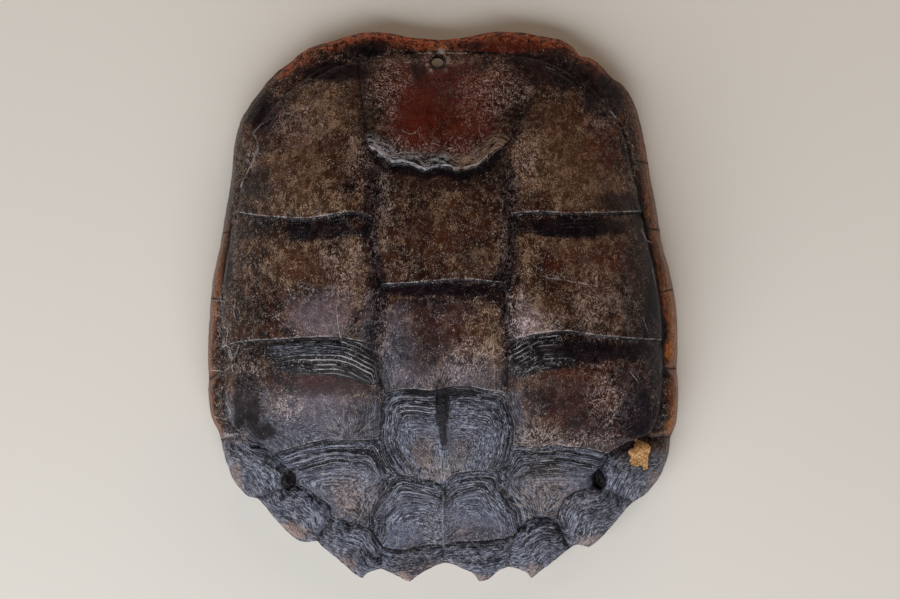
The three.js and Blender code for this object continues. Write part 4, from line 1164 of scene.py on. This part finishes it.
def horn_material():
    """Dark varnished horn with painted shade, highlights, glints and sheen, driven by the attributes that
    make_carapace gives the mesh.
    """
    material = bpy.data.materials.new("varnished_horn")
    material.use_nodes = True
    n = Nodes(material)
    ramp, mix = n.ramp, n.mix
    ring, turns, around_x, around_y = map(n.attribute, ("ring", "turns", "around_x", "around_y"))
    fine, seam, band, first, rear_line = map(n.attribute, ("fine", "seam", "band", "first", "rear_line"))
    red, olive, dark, grey, rear = map(n.attribute, ("red", "olive", "dark", "grey", "rear_grey_and_sheen"))
    pale, orange, edge, chip, below = map(n.attribute, ("pale", "orange", "edge", "chip", "below"))
    fan, fan_turn, fan_reach, lip_side = map(n.attribute, ("fan", "fan_turn", "fan_reach", "lip_side"))

    def along_growth(across, share):
        """A place for noise that is drawn out along the growth lines of a scute."""
        return n.combine(across, around_x * share, around_y * share)

    # noise at the scales of blotches, streaks, strokes and grain; strokes drift a little off the long axis
    in_mm = n.vector("MULTIPLY", n.add("ShaderNodeTexCoord").outputs["Object"], (METRE, METRE, METRE))
    drift = n.noise_node(in_mm, 0.09).outputs["Color"]
    bent = n.vector("MULTIPLY_ADD", drift, (DRIFT, DRIFT, DRIFT), in_mm)
    strokes = n.noise(bent, (1.7, 0.62, 1.0), 2.0, 0.55)
    hairs = n.noise(bent, (3.0, 1.3, 2.0), 2.0, 0.6)
    blotch = n.noise(in_mm, 0.1, 4.0, 0.62)
    mottle = n.noise(in_mm, 0.3, 4.0, 0.66)
    grain = n.noise(in_mm, 1.9, 2.0, 0.6)
    fibre = n.noise(along_growth(ring * 1.6, 0.09), 1.0, 2.0, 0.55)
    etched = n.noise(along_growth(ring * 1.5 + mottle * 4.0, 0.34), 1.0, 2.5, 0.6)
    centre = ramp(ring, 9.0, 18.0)
    thread = fibre * ramp(centre, 0.0, 1.0, 0.75, 0.25) + hairs * ramp(centre, 0.0, 1.0, 0.25, 0.75)
    thread = ramp(thread, 0.44, 0.56)
    plain = 1.0 - red * 0.8
    # ground colour
    tone = mix(ramp(blotch, 0.36, 0.64), BLACK_HORN_AND_SHADE, HORN_BROWN)
    tone = mix(ramp(mottle, 0.44, 0.66) * ramp(hairs, 0.42, 0.58, 0.1, 0.8) * plain, tone, HORN_DUN)
    streak = n.noise(in_mm, (0.75, 0.07, 0.4), 4.0, 0.62)
    tone = mix(red * ramp(streak * 0.7 + blotch * 0.3, 0.4, 0.6, 0.45, 1.0), tone, HORN_RED)
    # olive-tan strokes on a thin film, thick where the olive patches are and thin elsewhere
    clear = 1.0 - dark * 0.92
    tone = mix(olive * clear * ramp(mottle, 0.34, 0.6, 0.35, 1.0), tone, OLIVE_FILM)
    clump = n.noise(in_mm, (0.16, 0.12, 0.14), 4.0, 0.7)
    speck = ramp(strokes + (olive * 0.07 + (clump - 0.5) * 1.2), 0.6, 0.66)
    speck = speck * clear * ramp(olive, 0.0, 0.5, 0.5, 1.0) * plain * ramp(rear, 0.2, 0.9, 1.0, 0.35)
    tone = mix(speck * ramp(hairs, 0.44, 0.56, 0.1, 0.95), tone, OLIVE_TAN)
    # mauve and blue-grey, densest on the rear third: grey horn and a painted sheen that stands for the
    # reflection of the cool window light, with painted glints, and painted shade near the rear seams
    grey_and_sheen = n.larger(grey, rear) * ramp(mottle, 0.25, 0.62, 0.5, 1.0) * clear
    smooth_sheen = n.attribute("smooth_sheen_share")
    rough_rear = rear * ramp(smooth_sheen, 0.0, 1.0, 1.0, 0.2)
    smooth_sheen_share = n.larger(centre * rear * 0.6, smooth_sheen)
    thread = thread * ramp(smooth_sheen_share, 0.0, 1.0, 1.0, 0.55) + smooth_sheen_share * 0.3
    lines = thread * ramp(rear, 0.0, 1.0, 0.15, 0.6) + ramp(rear, 0.0, 0.6, 0.5, 0.1)
    tone = mix(rear * 0.85, tone, SLATE)
    tone = mix(grey_and_sheen * lines, tone, mix(rear, MAUVE_SHEEN, GREY_HORN_AND_SHEEN))
    # painted glints on the fibres of the rear
    glint = ramp(fibre, 0.54, 0.62) * ramp(hairs, 0.46, 0.58) * rear * clear
    tone = mix(glint * ramp(smooth_sheen_share, 0.0, 1.0, 1.0, 0.25) * 0.5, tone, SILVER)
    tone = mix(rough_rear * clear * ramp(etched, 0.55, 0.6, 0.0, 0.45), tone, SILVER)
    tone = mix(rough_rear * ramp(etched, 0.47, 0.41, 0.0, 0.8), tone, BLACK_HORN_AND_SHADE)
    shade = rear * ramp(seam + mottle * 5.0, 5.6, 2.8)
    tone = mix(shade * 0.3, tone, BLACK_HORN_AND_SHADE)
    # growth lines: darker over the ridged band, painted shade in the groove of each line and a painted
    # highlight on the pale edge ahead of it, each line with its own gaps
    phase = n.math("FRACT", turns)
    line_number = n.math("FLOOR", turns + 0.5) * 7.3
    gaps = n.noise(n.combine(line_number, n.attribute("along") * 0.07), 1.0, 3.0, 0.6)
    tone = mix(ramp(band, 0.1, 0.3) * ramp(rear, 0.3, 0.9, 0.9, 0.0), tone, BLACK_HORN_AND_SHADE)
    cut = ramp(n.math("ABSOLUTE", phase - 0.5), 0.3, 0.42)
    cut = cut * ramp(band, 0.1, 0.45) * ramp(gaps, 0.34, 0.5, 0.3, 1.0)
    tone = mix(cut * 0.9, tone, BLACK_HORN_AND_SHADE)
    lit = ramp(phase, 0.58, 0.7) * ramp(phase, 0.92, 0.82) * ramp(band, 0.22, 0.6) * ramp(gaps, 0.42, 0.56)
    lit = lit * ramp(rough_rear, 0.5, 1.0, 1.0, 0.45)
    tone = mix(lit * ramp(hairs, 0.36, 0.54, 0.5, 0.9), tone, SCUFF_AND_HIGHLIGHT)
    # crests are scuffed and carry a painted highlight, hollows get painted shade, and the dark patches are
    # smooth dark horn and painted shade
    crest = ramp(fine, 0.14, 0.5) * ramp(grain, 0.42, 0.58, 0.1, 1.0)
    tone = mix(crest * 0.35, tone, SCUFF_AND_HIGHLIGHT)
    tone = mix(ramp(fine, -0.02, -0.3) * 0.9, tone, BLACK_HORN_AND_SHADE)
    dark_and_shade_spread = ramp(mottle, 0.34, 0.66, 1.12, 0.92)
    tone = mix(dark * dark_and_shade_spread, tone, mix(ramp(blotch, 0.35, 0.6), BLACK_HORN_AND_SHADE, HORN_SMOOTH))
    # pale and dark strokes where the radiating wrinkles meet
    rays = n.combine(n.math("SINE", fan_turn) * 13.0, n.math("COSINE", fan_turn) * 13.0, fan_reach * 0.22)
    rays = n.noise(rays, 1.0, 3.0, 0.6)
    tone = mix(fan * ramp(rays, 0.46, 0.38, 0.0, 0.75), tone, BLACK_HORN_AND_SHADE)
    tone = mix(fan * ramp(rays, 0.52, 0.6, 0.0, 0.8), tone, FAN_TAN)
    # the strands of the first vertebral's lip, and the pale hairline along each rear edge, worn and painted
    # as an edge highlight
    band_at_lip = first * ramp(rear_line + (mottle - 0.5) * 9.0, 10.5, 6.0)
    tone = mix(band_at_lip * 0.85, tone, mix(lip_side, HORN_SMOOTH, HORN_BROWN))
    threads = n.noise(along_growth(rear_line * 1.8 + mottle * 5.0, 0.2), 1.0, 1.5, 0.5)
    strand = ramp(threads, 0.505, 0.54) * ramp(hairs, 0.4, 0.5, 0.35, 1.0)
    tone = mix(band_at_lip * strand * ramp(lip_side, 0.0, 1.0, 0.95, 0.3), tone, SILVER)
    tone = mix(band_at_lip * ramp(threads, 0.5, 0.45, 0.0, 0.8), tone, BLACK_HORN_AND_SHADE)
    tan_strand = lip_side * ramp(threads + hairs, 0.98, 1.06, 0.0, 0.85)
    tone = mix(band_at_lip * tan_strand, tone, OLIVE_TAN)
    not_first = 1.0 - first
    tone = mix(ramp(rear_line, 1.5, 1.0, 0.0, 0.85) * not_first, tone, BLACK_HORN_AND_SHADE)
    hairline = ramp(rear_line, 1.9, 1.5) * ramp(rear_line, 1.0, 1.35)
    hairline = hairline * ramp(mottle + hairs, 0.86, 1.06, 0.0, 0.42) * ramp(clump, 0.4, 0.56, 0.15, 1.0)
    tone = mix(hairline * ramp(first, 0.0, 1.0, 1.0, 1.9), tone, SCUFF_AND_HIGHLIGHT)
    near_seam = ramp(seam, 0.9, 0.15)
    tone = mix(near_seam * ramp(rear, 0.3, 1.0, 0.97, 0.7), tone, BLACK_HORN_AND_SHADE)
    # small pale painted glints in the varnish
    glint_flecks = ramp(n.noise(bent, (2.3, 1.5, 1.6), 1.0, 0.4), 0.63, 0.67) * ramp(mottle, 0.42, 0.58)
    glint_flecks = glint_flecks * plain * ramp(dark, 0.9, 0.1, 0.12, 0.7)
    tone = mix(glint_flecks, tone, SCUFF_AND_HIGHLIGHT)
    dust = n.noise(bent, (1.4, 0.7, 1.0), 2.5, 0.6) + (mottle - 0.5) * 0.35
    dust = n.attribute("dusty") * ramp(dust, 0.56, 0.59, 0.0, 0.9) * ramp(dark, 0.3, 1.0, 1.0, 0.4)
    tone = mix(dust * ramp(red, 0.6, 1.0, 1.0, 0.15), tone, DUST)
    # worn horn at the edges
    worn = ramp(mottle + strokes * 0.6, ramp(rear, 0.0, 1.0, 0.72, 0.6), ramp(rear, 0.0, 1.0, 0.86, 0.76))
    worn = edge * worn * clear * ramp(blotch, 0.36, 0.56, 0.5, 1.0)
    edge_tone = mix(ramp(rear, 0.2, 0.9), EDGE_BROWN, EDGE_TAN)
    tone = mix(worn * ramp(hairs, 0.44, 0.58, 0.1, 0.9), tone, edge_tone)
    bark = n.noise(bent, (1.1, 0.16, 0.7), 4.0, 0.65)
    strip = mix(ramp(n.noise(in_mm, (0.2, 0.05, 0.2), 3.0, 0.6), 0.42, 0.6), ORANGE_RED, ORANGE)
    strip = mix(ramp(bark, 0.52, 0.4, 0.0, 0.85), strip, ORANGE_DARK)
    low_seam = ramp(seam, 1.3, 0.2, 0.0, 0.8) * ramp(mottle, 0.36, 0.5, 0.3, 1.0)
    strip = mix(low_seam, strip, BLACK_HORN_AND_SHADE)
    tone = mix(orange * ramp(mottle, 0.36, 0.5, 0.25, 1.0), tone, strip)
    tone = mix(pale * ramp(hairs, 0.36, 0.54, 0.35, 1.0), tone, SCUFF_AND_HIGHLIGHT)
    # pale score marks in the horn, and painted highlights along the front left ridge
    scratch_and_highlight = n.attribute("scratch_and_highlight_strength") * ramp(n.math("ABSOLUTE", n.attribute("scratch_and_highlight")), 1.3, 0.6)
    scratch_and_highlight = scratch_and_highlight * ramp(mottle, 0.38, 0.5, 0.15, 1.0) * ramp(hairs, 0.42, 0.54, 0.15, 1.0)
    tone = mix(scratch_and_highlight, tone, SCUFF_AND_HIGHLIGHT)
    chip = chip + (mottle - 0.5) * 0.35
    tone = mix(ramp(chip, 0.36, 0.46, 0.0, 0.8), tone, BLACK_HORN_AND_SHADE)
    chip = ramp(chip, 0.47, 0.5)
    bone = mix(ramp(n.noise(in_mm, 0.9, 4.0, 0.65), 0.4, 0.62), BONE_DARK, BONE)
    tone = mix(chip, tone, bone)
    inner = mix(ramp(n.noise(in_mm, 0.022, 3.0, 0.55), 0.36, 0.64), INNER_STAIN, INNER_BONE)
    inner = mix(ramp(blotch, 0.4, 0.7, 0.0, 0.35), inner, INNER_STAIN)
    inner = mix(ramp(n.noise(in_mm, 0.7, 5.0, 0.65), 0.5, 0.66, 0.0, 0.35), inner, INNER_DARK)
    tone = mix(below, tone, inner)
    # gloss
    in_seam = n.larger(near_seam, ramp(rear_line, 1.5, 1.0) * not_first)
    rough = ramp(grain, 0.3, 0.7, 0.2, 0.34) + n.larger(speck, glint_flecks) * 0.25
    rough = n.larger(n.larger(rough, n.larger(chip, below) * 0.78), in_seam * 0.7)
    # relief finer than the mesh
    flat = ramp(smooth_sheen_share, 0.0, 1.0, 2.2, 0.6)
    relief = fibre * ramp(rear, 0.0, 1.0, 0.15, flat) + strokes * 0.2 + grain * 0.12
    relief = relief + hairs * ramp(rear, 0.0, 1.0, 0.14, 0.7) + threads * band_at_lip * 2.4
    relief = relief + etched * rough_rear * 1.3 + rays * fan * 1.4
    bump = n.add("ShaderNodeBump")
    bump.inputs["Strength"].default_value = 1.0
    bump.inputs["Distance"].default_value = BUMP_DISTANCE
    n.put(bump.inputs["Height"], relief * ramp(dark, 0.4, 1.0, 1.0, 0.4))
    shader = n.add("ShaderNodeBsdfPrincipled")
    for name, value in VARNISH.items():
        shader.inputs[name].default_value = value
    n.put(shader.inputs["Base Color"], tone)
    n.put(shader.inputs["Roughness"], rough)
    n.put(shader.inputs["Normal"], bump.outputs[0])
    n.put(n.add("ShaderNodeOutputMaterial").inputs[0], shader.outputs[0])
    return material


# ---- the piece --------------------------------------------------------------------------------
def colour_fields(p, field):
    """What the material needs to know at each place on the sheet."""
    x, y, row, which, at_hole = p[:, 0], p[:, 1], row_of(p), field["which"], field["at_hole"]
    large, to_edge = which < LARGE_SCUTES, field["to_edge"]
    front_rim, rear_rim = 1 - smooth(60, 110, row), smooth(455, 500, row)
    rim_width = 4.5 + 4.5 * front_rim
    edge = 1 - smooth(0.35 * rim_width, rim_width, to_edge + 2.5 * uneven(p, 8, 121, 3))
    edge = edge * (0.15 + 0.85 * front_rim) * (1 - 0.6 * rear_rim)
    halo = bell(at_hole - HOLE["radius"] - 3.6, 1.3) * smooth(-0.1, 0.5, uneven(p, 2, 126, 3))
    # darker beside the side seams, a painted shadow in the first vertebral's lee, painted shade in a ring
    # round the hole, and patches of smooth dark horn with painted shade
    valley = 1 - smooth(0.5, 1.1, field["side"] / (6.0 + 2.5 * uneven(p, 9, 124, 2)))
    valley = valley * smooth(-70, -30, y) * large * (0.6 + 0.4 * smooth(150, 60, y))
    shadow_under_lip = (which == 1) * (1 - smooth(4, 7, field["front"] + 2.5 * uneven(p, 4, 123, 3)))
    shade_round_hole = 1 - smooth(HOLE["radius"] + 1.4, HOLE["radius"] + 2.6, at_hole)
    dark_horn_and_shade = patches(p, SMOOTH_DARK_AND_SHADE, 0.45, (0.7, 1.25))
    calm = np.where(large, 1.0, 0.55)
    across_scratch_and_highlight, scratch_and_highlight_strength = scratches_and_highlights(p)
    made = {
        "fine": field["fine"] * calm, "band": field["ridged"] * calm, "rear_line": field["rear"],
        "red": patches(p, RED), "olive": patches(p, OLIVE), "grey": patches(p, GREY_SHEEN),
        "dark": np.max([dark_horn_and_shade, 0.7 * valley, shade_round_hole, shadow_under_lip], axis=0), "pale": 0.9 * halo,
        "rear_grey_and_sheen": np.maximum(field["grey"], patches(p, BLUE_GREY_AND_SHEEN)) * (1 - patches(p, BROWNISH)),
        "scratch_and_highlight": across_scratch_and_highlight, "scratch_and_highlight_strength": scratch_and_highlight_strength, "chip": chip_depth(p), "first": which == 0,
        "orange": side_edge(p, to_edge), "edge": np.maximum(edge, patches(p, TAN, 0.4)),
        "lip_side": smooth(0, 14, x + 6 * uneven(p, 9, 125, 2)), "along": x + 0.5 * y,
        "dusty": patches(p, DUSTY, 0.6, (0.4, 1.2)), "smooth_sheen_share": patches(p, SMOOTH_SHEEN, 0.4),
    }
    kept = ("ring", "around_x", "around_y", "turns", "seam", "fan", "fan_turn", "fan_reach")
    return {**made, **{name: field[name] for name in kept}}


def make_carapace():
    points, quads, triangles, field, p, rim = build_mesh()
    thing = make_object("turtle_carapace", points, quads, triangles)
    on_rim = len(RIM_ROWS) * len(rim)
    counts = [len(p), len(points) - len(p) - on_rim, on_rim]
    for name, values in colour_fields(p, field).items():
        parts = [values, np.zeros(counts[1]), np.tile(values[rim], len(RIM_ROWS))]
        add_attribute(thing.data, name, np.concatenate(parts))
    add_attribute(thing.data, "below", np.repeat([0.0, 1.0, 0.0], counts))
    thing.data.materials.append(horn_material())
    cutter = hole_cutter()
    cut = thing.modifiers.new("hole", "BOOLEAN")
    cut.object = cutter
    cut.operation = "DIFFERENCE"
    cut.solver = "EXACT"
    apply_modifiers(thing)
    bpy.data.objects.remove(cutter)
    total = sum(len(face.vertices) - 2 for face in thing.data.polygons)
    if total > TRIANGLES:
        thin = thing.modifiers.new("thin", "DECIMATE")
        thin.ratio = TRIANGLES / total
        apply_modifiers(thing)
    thing.data.shade_smooth()
    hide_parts("carapace")
    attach(thing, "root")


def hole_cutter():
    x, y = (float(v) for v in on_sheet(*HOLE["at"]))
    at = dome(np.array([x]), np.array([y]))[0] / METRE
    radius, depth = HOLE["radius"] / METRE, HOLE["cut"] / METRE
    bpy.ops.mesh.primitive_cylinder_add(vertices=HOLE["sides"], radius=radius, depth=depth, location=at)
    return bpy.context.object


# ---- camera and light -------------------------------------------------------------------------
WINDOW = {"place": (-0.45, -1.45, 1.10), "size": (3.6, 1.5), "power": 75, "tint": (0.88, 0.93, 1.0)}
WARM_WALL = {"place": (0.35, 1.5, 0.70), "size": (1.8, 0.8), "power": 11, "tint": (1.0, 0.80, 0.64)}
AMBIENT = {"tint": (1.0, 0.97, 0.93, 1), "strength": 0.06}
FLOOR = {"size": 6, "colour": (222, 214, 202), "roughness": 0.8}


def set_camera():
    """Straight above the shell, with the head end at the top of the picture."""
    data = bpy.data.cameras.new("camera")
    camera = bpy.data.objects.new("camera", data)
    bpy.context.scene.collection.objects.link(camera)
    data.sensor_width = 36.0
    data.lens = data.sensor_width * EYE / (PICTURE["width"] * SQUARE)
    data.shift_x = (PICTURE["width"] / 2 - MID_X) / PICTURE["width"]
    data.shift_y = (MID_Y - PICTURE["height"] / 2) / PICTURE["width"]
    camera.location = (0, 0, EYE / METRE)
    bpy.context.scene.camera = camera


def add_light(name, place, size, power, tint):
    data = bpy.data.lights.new(name, "AREA")
    data.shape = "RECTANGLE"
    data.size, data.size_y = size
    data.energy = power
    data.color = tint
    light = bpy.data.objects.new(name, data)
    light.location = place
    bpy.context.scene.collection.objects.link(light)
    aim = -light.location
    light.rotation_euler = aim.to_track_quat("-Z", "Y").to_euler()
    return light


def set_light():
    """A broad cool window on the tail side, a warm wall on the head side, and even light all round."""
    add_light("window", **WINDOW)
    add_light("warm_wall", **WARM_WALL).visible_glossy = False
    world = bpy.data.worlds.new("studio")
    world.use_nodes = True
    background = world.node_tree.nodes["Background"]
    background.inputs["Color"].default_value = AMBIENT["tint"]
    background.inputs["Strength"].default_value = AMBIENT["strength"]
    scene = bpy.context.scene
    scene.world = world
    scene.view_settings.view_transform = "Standard"


def set_floor():
    bpy.ops.mesh.primitive_plane_add(size=FLOOR["size"], location=(0, 0, 0))
    floor = bpy.context.object
    floor.name = "floor"
    material = bpy.data.materials.new("pale_floor")
    material.use_nodes = True
    shader = material.node_tree.nodes["Principled BSDF"]
    shader.inputs["Base Color"].default_value = colour(*FLOOR["colour"])
    shader.inputs["Roughness"].default_value = FLOOR["roughness"]
    floor.data.materials.append(material)


set_camera()
set_light()
set_floor()
make_carapace()
